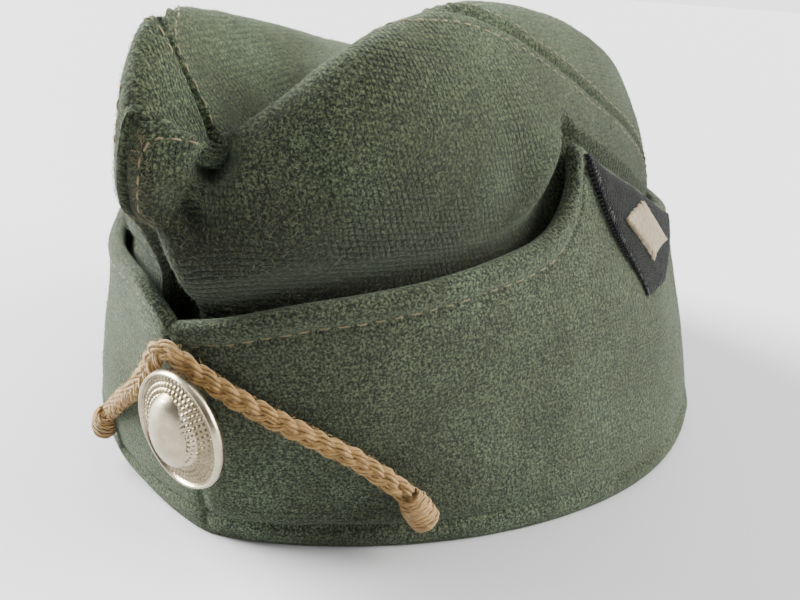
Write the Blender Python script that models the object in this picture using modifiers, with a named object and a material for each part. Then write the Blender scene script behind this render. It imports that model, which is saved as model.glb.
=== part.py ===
"""Garrison cap: a soft wool cap with a folded crown and a turned-up curtain.

Frame: +Z up, the rim rests on the plane z = 0, the front seam looks along -Y and the
wearer's left is +X. The origin is the middle of the cap's box at that plane. The pieces are
worked out round the middle of the rim, and then moved there. Units are metres.

Every cloth surface is found from two numbers. "along" runs from 0 at the front seam to 1
at the back seam, and "up" is a height. The tables hold shares of the named sizes.
"""

import math

import bmesh
import bpy
from mathutils import Vector

# Driving dimensions of the rim and of the crown
RIM_LENGTH = 0.2008
RIM_WIDTH = 0.1720
CROWN_HEIGHT = 0.1070
CROWN_WALL = 0.0012
FRONT_LEAN = 0.194
BACK_LEAN = 0.200
LEFT_LEAN = 0.210
RIGHT_LEAN = 0.320
LEAN_GROWTH = 1.6
CROWN_RAISE = 0.0008
WAIST_UP = 0.0480
WAIST_SLACK = 0.0014
WAIST_SWEEP = 0.030
SHOULDER_SHARE = 0.55
RIDGE_BELLY = 0.0065
RIGHT_BELLY_SHARE = 0.50
FRONT_TUCK_ASIDE = 0.0062
FRONT_TUCK_BACK = 0.0020
FRONT_TUCK_SPREAD = 0.060

# Roundness of the rim at the front of each half and at the back, as a sine's power
FRONT_POWER_LEFT = 1.38
FRONT_POWER_RIGHT = 1.47
BACK_POWER = 1.10

# The turned-up curtain
CURTAIN_PEAK = 0.0800
PEAK_ALONG_LEFT = 0.375
PEAK_ALONG_RIGHT = 0.402
CURTAIN_WALL = 0.0024
HEM_TURN = 0.0020
EDGE_ROLL = 0.0009
OVERHANG = 0.6
CROWN_SLACK = 0.0009

# Seams and clearances
PIECE_GAP = 0.0003
SEAM_GAP = 0.0005
RIDGE_GAP = 0.0006
FRONT_GAP = 0.0006
FRONT_GAP_FADE = 0.012
SEAM_DEPTH = 0.0009
SEAM_WIDTH = 0.0022
SEAM_FADE = 0.020
FRONT_SPREAD = 0.120
DENT_FADE = 0.025
DENT_DEPTH = 0.0022
SIDE_SEAM_BACK = 0.640
TOP_TIP = 0.045
SIDE_SPACING = 0.62

# The cord, its end whippings and the button
CORD_WIDTH = 0.0044
CORD_APEX_UP = 0.0480
WHIPPING_WIDTH = 0.0066
WHIPPING_LENGTH = 0.0080
WHIPPING_DROP = 0.55
WHIPPING_CLEAR = 0.0010
BUTTON_WIDTH = 0.0226
BUTTON_DISH = 0.0016
BUTTON_DOME = 0.0030
BUTTON_UP = 0.0336
BUTTON_STAND = 0.0067
BUTTON_ASIDE = 0.0055
SHANK_CLEAR = 0.0010
BUTTON_TURN = math.radians(15)
BUTTON_NOD = math.radians(2.4)
SHANK_WIDTH = 0.0050

# The sewn patch and the motif on it
PATCH_WIDTH = 0.0620
PATCH_CENTRE = 0.447
PATCH_TIP = 0.436
PATCH_TIP_UP = 0.0445
PATCH_TIP_SHARE = 0.16
PATCH_WALL = 0.0012
PATCH_MARGIN = 0.0010
MOTIF_WIDTH = 0.0300
MOTIF_WALL = 0.0005

# Length that one whole turn of "along" would have at the pace of the cap's straight side
SIDE_RUN = RIM_LENGTH * 2.2

# How far the middle of the rim lies from the middle of the whole cap's box
RIM_ASIDE = 0.0001
RIM_BACK = 0.00870

LEFT = 1
RIGHT = -1

# Ridge of each half of the crown: along, then the shares of the rim's half width, of its
# half length (negative is forward) and of the crown's height.
LEFT_RIDGE = (
    (0.00, -0.009, -1.140, 0.813),
    (0.07, 0.076, -1.061, 0.778),
    (0.11, 0.112, -1.026, 0.792),
    (0.16, 0.169, -0.980, 0.832),
    (0.22, 0.244, -0.926, 0.893),
    (0.30, 0.308, -0.817, 0.952),
    (0.38, 0.349, -0.618, 0.990),
    (0.46, 0.382, -0.359, 0.995),
    (0.54, 0.420, -0.120, 0.975),
    (0.62, 0.468, 0.100, 0.933),
    (0.72, 0.484, 0.337, 0.875),
    (0.82, 0.413, 0.515, 0.809),
    (0.92, 0.233, 0.652, 0.746),
    (1.00, 0.000, 0.692, 0.727),
)
RIGHT_RIDGE = (
    (0.00, 0.009, -1.140, 0.813),
    (0.07, 0.029, -1.105, 0.880),
    (0.11, 0.044, -1.071, 0.930),
    (0.16, 0.064, -1.026, 0.953),
    (0.22, 0.116, -0.906, 0.962),
    (0.30, 0.186, -0.727, 0.952),
    (0.38, 0.244, -0.498, 0.925),
    (0.46, 0.302, -0.259, 0.893),
    (0.54, 0.372, -0.040, 0.860),
    (0.62, 0.430, 0.159, 0.832),
    (0.72, 0.460, 0.358, 0.799),
    (0.82, 0.400, 0.518, 0.763),
    (0.92, 0.233, 0.652, 0.736),
    (1.00, 0.000, 0.692, 0.727),
)
# Fold down the middle of the crown, between the ridges, in the same shares.
MIDDLE_FOLD = (
    (0.00, 0.014, -1.114, 0.800),
    (0.045, 0.058, -1.040, 0.757),
    (0.09, 0.072, -0.970, 0.736),
    (0.16, 0.064, -0.890, 0.733),
    (0.22, 0.058, -0.797, 0.740),
    (0.30, 0.047, -0.637, 0.757),
    (0.38, 0.035, -0.438, 0.785),
    (0.46, 0.023, -0.219, 0.813),
    (0.54, 0.012, -0.020, 0.836),
    (0.62, 0.000, 0.159, 0.841),
    (0.72, 0.000, 0.309, 0.832),
    (0.82, 0.000, 0.418, 0.813),
    (0.92, 0.000, 0.498, 0.794),
    (1.00, 0.000, 0.538, 0.785),
)
# Seam between a side and the top panel: along, then its place across the section, where
# 1 is the waist, 2 the shoulder, 3 the ridge, 4 the inner slope and 5 the middle fold.
LEFT_SEAM = (
    (0.045, 4.85),
    (0.14, 4.30),
    (0.30, 3.45),
    (0.37, 3.00),
    (0.44, 2.55),
    (0.52, 2.10),
    (0.60, 1.60),
    (0.64, 1.05),
)
RIGHT_SEAM = (
    (0.045, 4.85),
    (0.09, 4.35),
    (0.13, 3.62),
    (0.17, 3.10),
    (0.22, 2.80),
    (0.30, 2.55),
    (0.44, 2.30),
    (0.56, 1.80),
    (0.64, 1.05),
)
# Top edge of each half of the curtain: along, then the share of its peak's height.
LEFT_EDGE = (
    (0.000, 0.638),
    (0.068, 0.659),
    (0.136, 0.698),
    (0.225, 0.734),
    (0.278, 0.765),
    (0.318, 0.796),
    (0.342, 0.844),
    (0.363, 0.920),
    (0.375, 1.000),
    (0.393, 0.955),
    (0.449, 0.844),
    (0.500, 0.750),
    (0.560, 0.719),
    (0.700, 0.700),
    (1.000, 0.688),
)
RIGHT_EDGE = (
    (0.000, 0.638),
    (0.042, 0.685),
    (0.084, 0.722),
    (0.156, 0.715),
    (0.200, 0.690),
    (0.250, 0.685),
    (0.310, 0.720),
    (0.345, 0.770),
    (0.372, 0.850),
    (0.390, 0.925),
    (0.402, 0.965),
    (0.420, 0.930),
    (0.470, 0.830),
    (0.520, 0.750),
    (0.580, 0.719),
    (0.700, 0.700),
    (1.000, 0.688),
)
# Soft dents (depth above 0) and puffs (below 0) of the crown's sides: side, along, share of
# the crown's height, length along, share of that height it spans, share of DENT_DEPTH.
DENTS = (
    (LEFT, 0.035, 0.560, 0.040, 0.070, 0.85),
    (LEFT, 0.120, 0.660, 0.060, 0.080, -0.75),
    (LEFT, 0.080, 0.745, 0.022, 0.022, 1.00),
    (LEFT, 0.260, 0.640, 0.070, 0.060, 0.55),
    (RIGHT, 0.110, 0.700, 0.070, 0.130, -0.90),
    (RIGHT, 0.420, 0.700, 0.060, 0.080, 0.65),
)
# Legs of the chevron cord: along, then the share of the apex height; the last is the end.
LEFT_LEG = (
    (0.000, 1.000),
    (0.012, 0.990),
    (0.031, 0.950),
    (0.056, 0.874),
    (0.091, 0.755),
    (0.127, 0.632),
    (0.161, 0.487),
    (0.187, 0.320),
)
RIGHT_LEG = (
    (0.000, 1.000),
    (0.012, 0.985),
    (0.035, 0.900),
    (0.076, 0.735),
    (0.120, 0.560),
    (0.155, 0.395),
    (0.178, 0.270),
)


def cubic(rows, place):
    """Read a table at place with a smooth curve through its rows; returns its columns."""
    last = len(rows) - 1
    if place <= rows[0][0]:
        return list(rows[0][1:])
    if place >= rows[last][0]:
        return list(rows[last][1:])
    index = 0
    while rows[index + 1][0] < place:
        index += 1
    low, high = rows[index], rows[index + 1]
    before, after = rows[max(index - 1, 0)], rows[min(index + 2, last)]
    span = high[0] - low[0]
    s = (place - low[0]) / span
    values = []
    for column in range(1, len(low)):
        slope_low = (high[column] - before[column]) / (high[0] - before[0])
        slope_high = (after[column] - low[column]) / (after[0] - low[0])
        values.append(
            (2 * s**3 - 3 * s**2 + 1) * low[column]
            + (s**3 - 2 * s**2 + s) * span * slope_low
            + (3 * s**2 - 2 * s**3) * high[column]
            + (s**3 - s**2) * span * slope_high
        )
    return values


def envelope(side, along, up, inset=0.0):
    """Point of the curtain's outer face, or of a face that lies inset inside it."""
    turn = math.pi * along
    rise = max(up - HEM_TURN, 0.0)
    reach = RIM_LENGTH / 2 - inset
    reach += FRONT_LEAN * rise if along < 0.5 else -BACK_LEAN * rise
    lean = LEFT_LEAN if side == LEFT else RIGHT_LEAN
    half = RIM_WIDTH / 2 - inset - (lean + LEAN_GROWTH * rise) * rise
    front_power = FRONT_POWER_LEFT if side == LEFT else FRONT_POWER_RIGHT
    power = front_power + (BACK_POWER - front_power) * along
    across = math.sin(turn) ** power if 0.0 < along < 1.0 else 0.0
    return Vector((side * half * across, -reach * math.cos(turn), up))


def outward(side, along, up):
    """Unit vector that points out of the curtain's outer face."""
    step = 0.002
    low = envelope(side, max(along - step, 0.0), up)
    high = envelope(side, min(along + step, 1.0), up)
    rise = envelope(side, along, up + 0.001) - envelope(side, along, up)
    if along < step or along > 1.0 - step:
        forward = -1.0 if along < 0.5 else 1.0
        return Vector((0.0, rise.z * forward, -rise.y * forward)).normalized()
    return (high - low).cross(rise).normalized() * side


def from_shares(row):
    """Turn the shares of a ridge or fold table into a point."""
    return Vector((row[0] * RIM_WIDTH / 2, row[1] * RIM_LENGTH / 2, row[2] * CROWN_HEIGHT))


def half_section(side, along):
    """Control points of one side: rim, waist, shoulder, ridge and inner slope."""
    ridge_table = LEFT_RIDGE if side == LEFT else RIGHT_RIDGE
    ridge = from_shares(cubic(ridge_table, along))
    ridge.x *= side
    fold = from_shares(cubic(MIDDLE_FOLD, along))
    inset = CURTAIN_WALL + PIECE_GAP
    rim = envelope(side, along, CROWN_RAISE, inset)
    sweep = along - WAIST_SWEEP * math.sin(math.pi * along)
    waist = envelope(side, sweep, WAIST_UP, inset + WAIST_SLACK)
    front = math.exp(-((along / FRONT_TUCK_SPREAD) ** 2))
    waist += Vector((-FRONT_TUCK_ASIDE, FRONT_TUCK_BACK, 0.0)) * front
    belly = RIDGE_BELLY * (0.55 + 0.45 * math.sin(math.pi * along))
    if side == RIGHT:
        belly *= 1.0 - (1.0 - RIGHT_BELLY_SHARE) * math.sin(math.pi * along)
    shoulder = waist.lerp(ridge, SHOULDER_SHARE) + outward(side, sweep, WAIST_UP) * belly
    slope = ridge.lerp(fold, 0.5)
    return [rim, waist, shoulder, ridge, slope], fold


def smooth_curve(points, place):
    """Curve through the points that doesn't loop at a sharp turn; place counts them."""
    last = len(points) - 1
    index = min(int(place), last - 1)
    s = place - index
    p1, p2 = points[index], points[index + 1]
    p0 = points[index - 1] if index else p1 * 2 - p2
    p3 = points[index + 2] if index + 2 <= last else p2 * 2 - p1
    k0 = math.sqrt(max((p1 - p0).length, 1e-5))
    k1 = math.sqrt(max((p2 - p1).length, 1e-5))
    k2 = math.sqrt(max((p3 - p2).length, 1e-5))
    leave = ((p1 - p0) / k0 - (p2 - p0) / (k0 + k1) + (p2 - p1) / k1) * k1
    arrive = ((p2 - p1) / k1 - (p3 - p1) / (k1 + k2) + (p3 - p2) / k2) * k1
    return (
        p1 * (2 * s**3 - 3 * s**2 + 1)
        + leave * (s**3 - 2 * s**2 + s)
        + p2 * (3 * s**2 - 2 * s**3)
        + arrive * (s**3 - s**2)
    )


def section(side, along):
    """One side's cross section as a curve; place 0 is the rim and 5 the middle fold."""
    near, fold = half_section(side, along)
    far, _ = half_section(-side, along)
    points = near + [fold] + far[::-1]
    return lambda place: smooth_curve(points, place)


def walk(curve, start, end, count=40):
    """Places and lengths at even steps of a curve, to find points by their length."""
    places = [start + (end - start) * k / count for k in range(count + 1)]
    lengths = [0.0]
    for k in range(count):
        lengths.append(lengths[-1] + (curve(places[k + 1]) - curve(places[k])).length)
    return places, lengths


def at_length(places, lengths, wanted):
    """Place at a wanted length of a walked curve."""
    if wanted <= 0.0:
        return places[0]
    for k in range(len(places) - 1):
        if lengths[k + 1] >= wanted:
            part = (wanted - lengths[k]) / max(lengths[k + 1] - lengths[k], 1e-9)
            return places[k] + (places[k + 1] - places[k]) * part
    return places[-1]


def seam_place(side, along):
    """Where the seam between a side and the top panel crosses the section."""
    if along < TOP_TIP:
        return 5.0
    return cubic(LEFT_SEAM if side == LEFT else RIGHT_SEAM, along)[0]


def seam_gap(place):
    """Half of the gap at the top seam, wider where the seam crosses a ridge."""
    return SEAM_GAP + RIDGE_GAP * math.exp(-(((place - 3.0) / 0.4) ** 2))


def dent_depth(side, along, up):
    """Depth of the soft dents at a point of a crown side."""
    depth = 0.0
    for dent_side, mid, high, long, tall, deep in DENTS:
        if dent_side == side:
            across = (along - mid) / long
            rise = (up / CROWN_HEIGHT - high) / tall
            depth += deep * DENT_DEPTH * math.exp(-across * across - rise * rise)
    return depth * (1.0 - math.exp(-((along / DENT_FADE) ** 2)))


def edge_up(side, along):
    """Height of the curtain's top edge."""
    return cubic(LEFT_EDGE if side == LEFT else RIGHT_EDGE, along)[0] * CURTAIN_PEAK


def hold_inside(point):
    """Move a crown point in to clear the curtain where the curtain covers it."""
    side = LEFT if point.x > 0.0 else RIGHT
    up = point.z
    rise = max(up - HEM_TURN, 0.0)
    lean = LEFT_LEAN if side == LEFT else RIGHT_LEAN
    front_power = FRONT_POWER_LEFT if side == LEFT else FRONT_POWER_RIGHT
    turn = math.atan2(abs(point.x) / RIM_WIDTH, -point.y / RIM_LENGTH)
    for _ in range(3):
        along = turn / math.pi
        above = max(up - edge_up(side, along) - 2 * EDGE_ROLL, 0.0)
        inset = CURTAIN_WALL + EDGE_ROLL + CROWN_SLACK - above * OVERHANG
        reach = RIM_LENGTH / 2 - inset
        reach += FRONT_LEAN * rise if along < 0.5 else -BACK_LEAN * rise
        half = RIM_WIDTH / 2 - inset - (lean + LEAN_GROWTH * rise) * rise
        power = front_power + (BACK_POWER - front_power) * along
        wide = (abs(point.x) / half) ** (1.0 / power)
        deep = -point.y / reach
        turn = math.atan2(wide, deep)
    size = math.hypot(wide, deep)
    if size <= 1.0:
        return point
    shrink = 1.0 / size
    return Vector((point.x * shrink**power, point.y * shrink, up))


def relief(grid, depths):
    """Move the points of a grid inwards by their depths, along the grid's own normals."""
    rows, columns = len(grid), len(grid[0])
    moved = []
    for i in range(rows):
        line = []
        for j in range(columns):
            down = grid[min(i + 1, rows - 1)][j] - grid[max(i - 1, 0)][j]
            across = grid[i][min(j + 1, columns - 1)] - grid[i][max(j - 1, 0)]
            normal = down.cross(across)
            if normal.length > 1e-12:
                line.append(grid[i][j] - normal.normalized() * depths[i][j])
            else:
                line.append(grid[i][j].copy())
        moved.append(line)
    return moved


def material(name, colour, roughness, metallic=0.0):
    """Principled material with the piece's plain colour."""
    made = bpy.data.materials.new(name)
    made.use_nodes = True
    shader = made.node_tree.nodes["Principled BSDF"]
    shader.inputs["Base Color"].default_value = (*colour, 1.0)
    shader.inputs["Roughness"].default_value = roughness
    shader.inputs["Metallic"].default_value = metallic
    return made


def add_mesh(name, vertices, faces, finish):
    """Make an object from vertices and faces in the cap's collection."""
    mesh = bpy.data.meshes.new(name)
    mesh.from_pydata([tuple(v) for v in vertices], [], faces)
    mesh.update()
    piece = bpy.data.objects.new(name, mesh)
    CAP.objects.link(piece)
    mesh.materials.append(finish)
    mesh.shade_smooth()
    return piece


def solidify(piece, wall):
    """Give an open cloth surface its wall, inwards from the face that shows."""
    shell = piece.modifiers.new("Wall", "SOLIDIFY")
    shell.thickness = wall
    shell.offset = -1.0
    shell.use_even_offset = False
    shell.use_rim = True


def cloth(name, grid, wall, finish, flip, keep=None):
    """Quad surface of a grid of points, less the faces that keep turns down, as a shell."""
    columns = len(grid[0])
    vertices = [point for line in grid for point in line]
    faces = []
    used = set()
    for i in range(len(grid) - 1):
        for j in range(columns - 1):
            if keep and not keep(i, j):
                continue
            a, b = i * columns + j, i * columns + j + 1
            face = (a, b, b + columns, a + columns)
            faces.append(face[::-1] if flip else face)
            used.update(face)
    order = {old: new for new, old in enumerate(sorted(used))}
    vertices = [vertices[old] for old in sorted(used)]
    faces = [tuple(order[corner] for corner in face) for face in faces]
    piece = add_mesh(name, vertices, faces, finish)
    joined = bmesh.new()
    joined.from_mesh(piece.data)
    bmesh.ops.remove_doubles(joined, verts=joined.verts, dist=0.000002)
    joined.to_mesh(piece.data)
    joined.free()
    solidify(piece, wall)
    return piece


def seam_dip(distance):
    """Depth of the groove that a seam pulls into the cloth, at a distance from it."""
    return SEAM_DEPTH * math.exp(-((distance / SEAM_WIDTH) ** 2))


def tip_fade(along):
    """Share of the seam's groove: none at the top panel's point, whole further back."""
    return min(max((along - TOP_TIP) / 0.06, 0.05), 1.0)


def side_columns():
    """Places along a crown side, closer at the front seam and at the panel's back."""
    front = [0.0, 0.012, 0.026, TOP_TIP, 0.060, 0.075, 0.09, 0.105, 0.12, 0.135]
    front += [0.15, 0.165, 0.18, 0.20, 0.225, 0.25, 0.275, 0.30, 0.32, 0.34, 0.36]
    front += [0.38, 0.40, 0.42, 0.45, 0.48, 0.51, 0.54, 0.57, 0.60]
    return front + [SIDE_SEAM_BACK - 0.012, SIDE_SEAM_BACK - 0.0013]


def crown_side(name, side, finish):
    """Side panel of the crown, from the rim to its seam with the top panel."""
    coarse = 14
    grid, depths = [], []
    for along in side_columns():
        curve = section(side, along)
        seam = seam_place(side, along)
        places, lengths = walk(curve, 0.0, seam)
        total = lengths[-1]
        gap = seam_gap(seam)
        near_seam = [gap + 0.0040, gap + 0.0013, gap]
        reach = total - near_seam[0]
        wanted = [reach * (k / coarse) ** SIDE_SPACING for k in range(coarse)]
        wanted += [total - back for back in near_seam]
        line, deep = [], []
        for length in wanted:
            point = curve(at_length(places, lengths, length))
            line.append(point)
            groove = seam_dip(total - length) * tip_fade(along)
            rim_fade = min(1.0, length / 0.012)
            point.y += seam_dip(along * FRONT_SPREAD) * rim_fade
            deep.append((groove + dent_depth(side, along, point.z)) * rim_fade)
        grid.append(line)
        depths.append(deep)
    grid = relief(grid, depths if side == LEFT else [[-d for d in line] for line in depths])
    grid = [[hold_inside(point) for point in line] for line in grid]
    for along, line in zip(side_columns(), grid):
        for point in line:
            point.x += side * (PIECE_GAP / 2 + FRONT_GAP * math.exp(-along / FRONT_GAP_FADE))
    return cloth(name, grid, CROWN_WALL, finish, side == LEFT)


def crown_top(name, finish):
    """Top panel: a point in the front fold, the middle of the crown and all its back."""
    front = side_columns()[4:-2]
    back_steps = 10
    back_start = SIDE_SEAM_BACK + 0.0013
    back = [back_start + (1.0 - back_start) * k / back_steps for k in range(back_steps + 1)]
    columns = front + back
    lower, upper = 4, 6
    grid, depths = [], []
    for along in columns:
        line, deep = [], []
        for side in (LEFT, RIGHT):
            curve = section(side, along)
            seam = seam_place(side, along)
            low_places, low_lengths = walk(curve, 0.0, seam)
            places, lengths = walk(curve, seam, 5.0)
            total = lengths[-1]
            part = []
            for k in range(lower):
                length = low_lengths[-1] * k / lower
                part.append((curve(at_length(low_places, low_lengths, length)), 0.0))
            gap = min(seam_gap(seam), 0.3 * total)
            share = min(tip_fade(along), (total - gap) / 0.008)
            near = [gap, gap + 0.0010 * share, gap + 0.0030 * share]
            rows = near + [
                near[-1] + (total - near[-1]) * k / upper for k in range(1, upper + 1)
            ]
            for length in rows:
                point = curve(at_length(places, lengths, length))
                groove = seam_dip(length) if along < SIDE_SEAM_BACK else 0.0
                part.append((point, groove * share))
            if side == RIGHT:
                part = part[-2::-1]
            line += [entry[0] for entry in part]
            deep += [entry[1] for entry in part]
        grid.append(line)
        depths.append(deep)
    grid = relief(grid, depths)
    middle = len(grid[0]) // 2
    grid = [[hold_inside(point) for point in line] for line in grid]
    first_back = len(front)

    def keep(i, j):
        return i >= first_back or lower <= j < 2 * middle - lower

    return cloth(name, grid, CROWN_WALL, finish, True, keep)


def curtain(name, side, finish):
    """One half of the turned-up curtain, from the rim to its rolled top edge."""
    columns = [0.0, 0.012, 0.03, 0.055, 0.085, 0.12, 0.155, 0.19, 0.225, 0.26, 0.29]
    peak = PEAK_ALONG_LEFT if side == LEFT else PEAK_ALONG_RIGHT
    columns += [peak - step for step in (0.055, 0.043, 0.033, 0.024, 0.016, 0.008)]
    columns += [peak, peak + 0.009, peak + 0.024]
    start = columns[-1]
    steps = 15
    columns += [start + (1.0 - start) * k / steps for k in range(1, steps + 1)]
    grid = []
    for along in columns:
        top = edge_up(side, along)
        ups = [0.0, HEM_TURN, 0.25 * top, 0.5 * top, 0.75 * top]
        ups += [top - 0.0024, top - 0.0008, top]
        insets = [0.0] * 6 + [EDGE_ROLL * 0.3, EDGE_ROLL]
        seam = math.exp(-along / SEAM_FADE) + math.exp(-(1.0 - along) / SEAM_FADE)
        line = []
        for up, inset in zip(ups, insets):
            point = envelope(side, along, up, inset)
            point.x += side * SEAM_GAP * seam
            line.append(point)
        grid.append(line)
    return cloth(name, grid, CURTAIN_WALL, finish, side == LEFT)


def on_curtain(side, along, up, stand):
    """Point that stands off the curtain's outer face."""
    return envelope(side, along, up) + outward(side, along, up) * stand


def cord(name, finish):
    """Chevron of braided cord, one tube from the left end over the apex to the right end."""
    stand = CORD_WIDTH / 2 + PIECE_GAP
    route = []
    for side, leg in ((LEFT, LEFT_LEG), (RIGHT, RIGHT_LEG)):
        steps = 18
        points = []
        for k in range(steps + 1):
            along = leg[-1][0] * k / steps
            up = cubic(leg, along)[0] * CORD_APEX_UP
            points.append(on_curtain(side, along, up, stand))
        route = points[::-1] if side == LEFT else route + points[1:]
    data = bpy.data.curves.new(name, "CURVE")
    data.dimensions = "3D"
    data.bevel_depth = CORD_WIDTH / 2
    data.bevel_resolution = 2
    data.use_fill_caps = True
    line = data.splines.new("POLY")
    line.points.add(len(route) - 1)
    for point, place in zip(line.points, route):
        point.co = (*place, 1.0)
    piece = bpy.data.objects.new(name, data)
    CAP.objects.link(piece)
    data.materials.append(finish)
    return piece


def whipping(name, side, finish):
    """Bound end of the cord: a short barrel that carries on from the tube's end."""
    leg = LEFT_LEG if side == LEFT else RIGHT_LEG
    end_along = leg[-1][0]
    end_up = leg[-1][1] * CORD_APEX_UP
    stand = WHIPPING_WIDTH / 2 + PIECE_GAP
    end = on_curtain(side, end_along, end_up, stand)
    before_along = end_along - 0.008
    before_up = cubic(leg, before_along)[0] * CORD_APEX_UP
    before = on_curtain(side, before_along, before_up, stand)
    direction = (end - before).normalized()
    direction.z -= WHIPPING_DROP
    direction.normalize()
    segments = 12
    data = bpy.data.meshes.new(name)
    half = WHIPPING_LENGTH / 2
    profile = (
        (0.0, -half),
        (0.70, -half),
        (0.96, -half * 0.72),
        (0.88, 0.0),
        (1.0, half * 0.62),
        (0.72, half),
        (0.0, half),
    )
    vertices = [(share * WHIPPING_WIDTH / 2, 0.0, z) for share, z in profile]
    vertices = vertices[::-1]
    edges = [(k, k + 1) for k in range(len(vertices) - 1)]
    data.from_pydata(vertices, edges, [])
    piece = bpy.data.objects.new(name, data)
    CAP.objects.link(piece)
    data.materials.append(finish)
    turn = piece.modifiers.new("Turn", "SCREW")
    turn.angle = math.tau
    turn.steps = segments
    turn.render_steps = segments
    turn.use_merge_vertices = True
    turn.merge_threshold = 0.00001
    piece.rotation_mode = "QUATERNION"
    piece.rotation_quaternion = direction.to_track_quat("Z", "Y")
    piece.location = end + direction * (half + WHIPPING_CLEAR)
    return piece


def button(name, finish):
    """Pressed metal button: raised rim, flat field, smooth dome and a short shank."""
    radius = BUTTON_WIDTH / 2
    profile = (
        (0.0, BUTTON_DISH * 0.5 + BUTTON_DOME),
        (radius * 0.16, BUTTON_DISH * 0.5 + BUTTON_DOME * 0.94),
        (radius * 0.32, BUTTON_DISH * 0.5 + BUTTON_DOME * 0.74),
        (radius * 0.46, BUTTON_DISH * 0.5 + BUTTON_DOME * 0.36),
        (radius * 0.54, BUTTON_DISH * 0.5),
        (radius * 0.84, BUTTON_DISH * 0.3),
        (radius * 0.89, BUTTON_DISH),
        (radius * 0.95, BUTTON_DISH * 1.15),
        (radius, BUTTON_DISH * 0.6),
        (radius * 0.98, 0.0),
        (SHANK_WIDTH / 2, -BUTTON_DISH * 0.3),
        (SHANK_WIDTH / 2, -BUTTON_STAND + SHANK_CLEAR),
        (0.0, -BUTTON_STAND + SHANK_CLEAR),
    )
    data = bpy.data.meshes.new(name)
    vertices = [(x, 0.0, z) for x, z in profile]
    data.from_pydata(vertices, [(k, k + 1) for k in range(len(vertices) - 1)], [])
    piece = bpy.data.objects.new(name, data)
    CAP.objects.link(piece)
    data.materials.append(finish)
    turn = piece.modifiers.new("Turn", "SCREW")
    turn.angle = math.tau
    turn.steps = 24
    turn.render_steps = 24
    turn.use_merge_vertices = True
    turn.merge_threshold = 0.00001
    piece.rotation_mode = "QUATERNION"
    nod = math.cos(BUTTON_NOD)
    aside, ahead = -math.sin(BUTTON_TURN) * nod, -math.cos(BUTTON_TURN) * nod
    faces = Vector((aside, ahead, -math.sin(BUTTON_NOD)))
    piece.rotation_quaternion = faces.to_track_quat("Z", "Y")
    seat = envelope(LEFT, 0.0, BUTTON_UP)
    piece.location = seat + Vector((BUTTON_ASIDE, -BUTTON_STAND, 0.0))
    return piece


def patch_point(across, down, stand):
    """Point of the sewn patch: across -1 to 1, down 0 at the curtain's edge to 1 at the tip."""
    half_turn = PATCH_WIDTH / 2 / SIDE_RUN
    top_along = PATCH_CENTRE + half_turn * across
    tip_along = PATCH_TIP + half_turn * PATCH_TIP_SHARE * across
    along = top_along + (tip_along - top_along) * down
    top_up = edge_up(LEFT, top_along) - PATCH_MARGIN - EDGE_ROLL
    up = top_up + (PATCH_TIP_UP - top_up) * down
    return on_curtain(LEFT, along, up, stand)


def patch(name, finish):
    """Three-cornered cloth patch, sewn on the left of the curtain below its peak."""
    columns, rows = 10, 6
    grid = []
    for k in range(columns + 1):
        across = -1.0 + 2.0 * k / columns
        line = []
        for m in range(rows + 1):
            stand = PATCH_WALL + PIECE_GAP
            line.append(patch_point(across, 1.0 - m / rows, stand))
        grid.append(line)
    return cloth(name, grid, PATCH_WALL, finish, True)


def motif(name, finish):
    """Plain lozenge of raised stitches in the middle of the patch."""
    steps = 4
    half = MOTIF_WIDTH / PATCH_WIDTH
    grid = []
    for k in range(steps + 1):
        line = []
        for m in range(steps + 1):
            u, v = k / steps, m / steps
            across = half * (u + v - 1.0)
            down = 0.36 - 0.26 * (v - u)
            line.append(patch_point(across, down, PATCH_WALL + PIECE_GAP * 2 + MOTIF_WALL))
        grid.append(line)
    return cloth(name, grid, MOTIF_WALL, finish, True)


for old in list(bpy.data.objects):
    bpy.data.objects.remove(old, do_unlink=True)

CAP = bpy.data.collections.new("garrison_cap")
bpy.context.scene.collection.children.link(CAP)

wool = (0.115, 0.135, 0.095)
crown_side("crown_side_left", LEFT, material("wool_left", wool, 0.95))
crown_side("crown_side_right", RIGHT, material("wool_right", wool, 0.95))
crown_top("crown_top", material("wool_top", wool, 0.95))
curtain("curtain_left", LEFT, material("wool_curtain_left", wool, 0.95))
curtain("curtain_right", RIGHT, material("wool_curtain_right", wool, 0.95))
cord("chevron_cord", material("braid", (0.42, 0.27, 0.12), 0.85))
whipping("cord_end_left", LEFT, material("whipping_left", (0.45, 0.30, 0.14), 0.85))
whipping("cord_end_right", RIGHT, material("whipping_right", (0.45, 0.30, 0.14), 0.85))
button("button", material("nickel", (0.62, 0.61, 0.57), 0.35, 1.0))
patch("badge_patch", material("patch_wool", (0.02, 0.02, 0.022), 0.95))
motif("badge_motif", material("motif_thread", (0.45, 0.37, 0.27), 0.8))

for piece in CAP.objects:
    piece.location += Vector((RIM_ASIDE, RIM_BACK, 0.0))
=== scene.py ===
# %% [markdown]
# # A soft wool garrison cap, built piece by piece
#
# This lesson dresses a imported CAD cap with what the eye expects: felted wool cloth, sewn
# seams, a braided cord, a struck metal button and a stitched patch. The CAD model is a fixed
# frame. It gives the size and the place of every part, and nothing in it moves. Run the
# cells from the top; each one prints what it made or measured.

# %% Load the fixed frame
import math
import random

import bpy
import numpy as np
from mathutils import Matrix, Vector, noise


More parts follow.
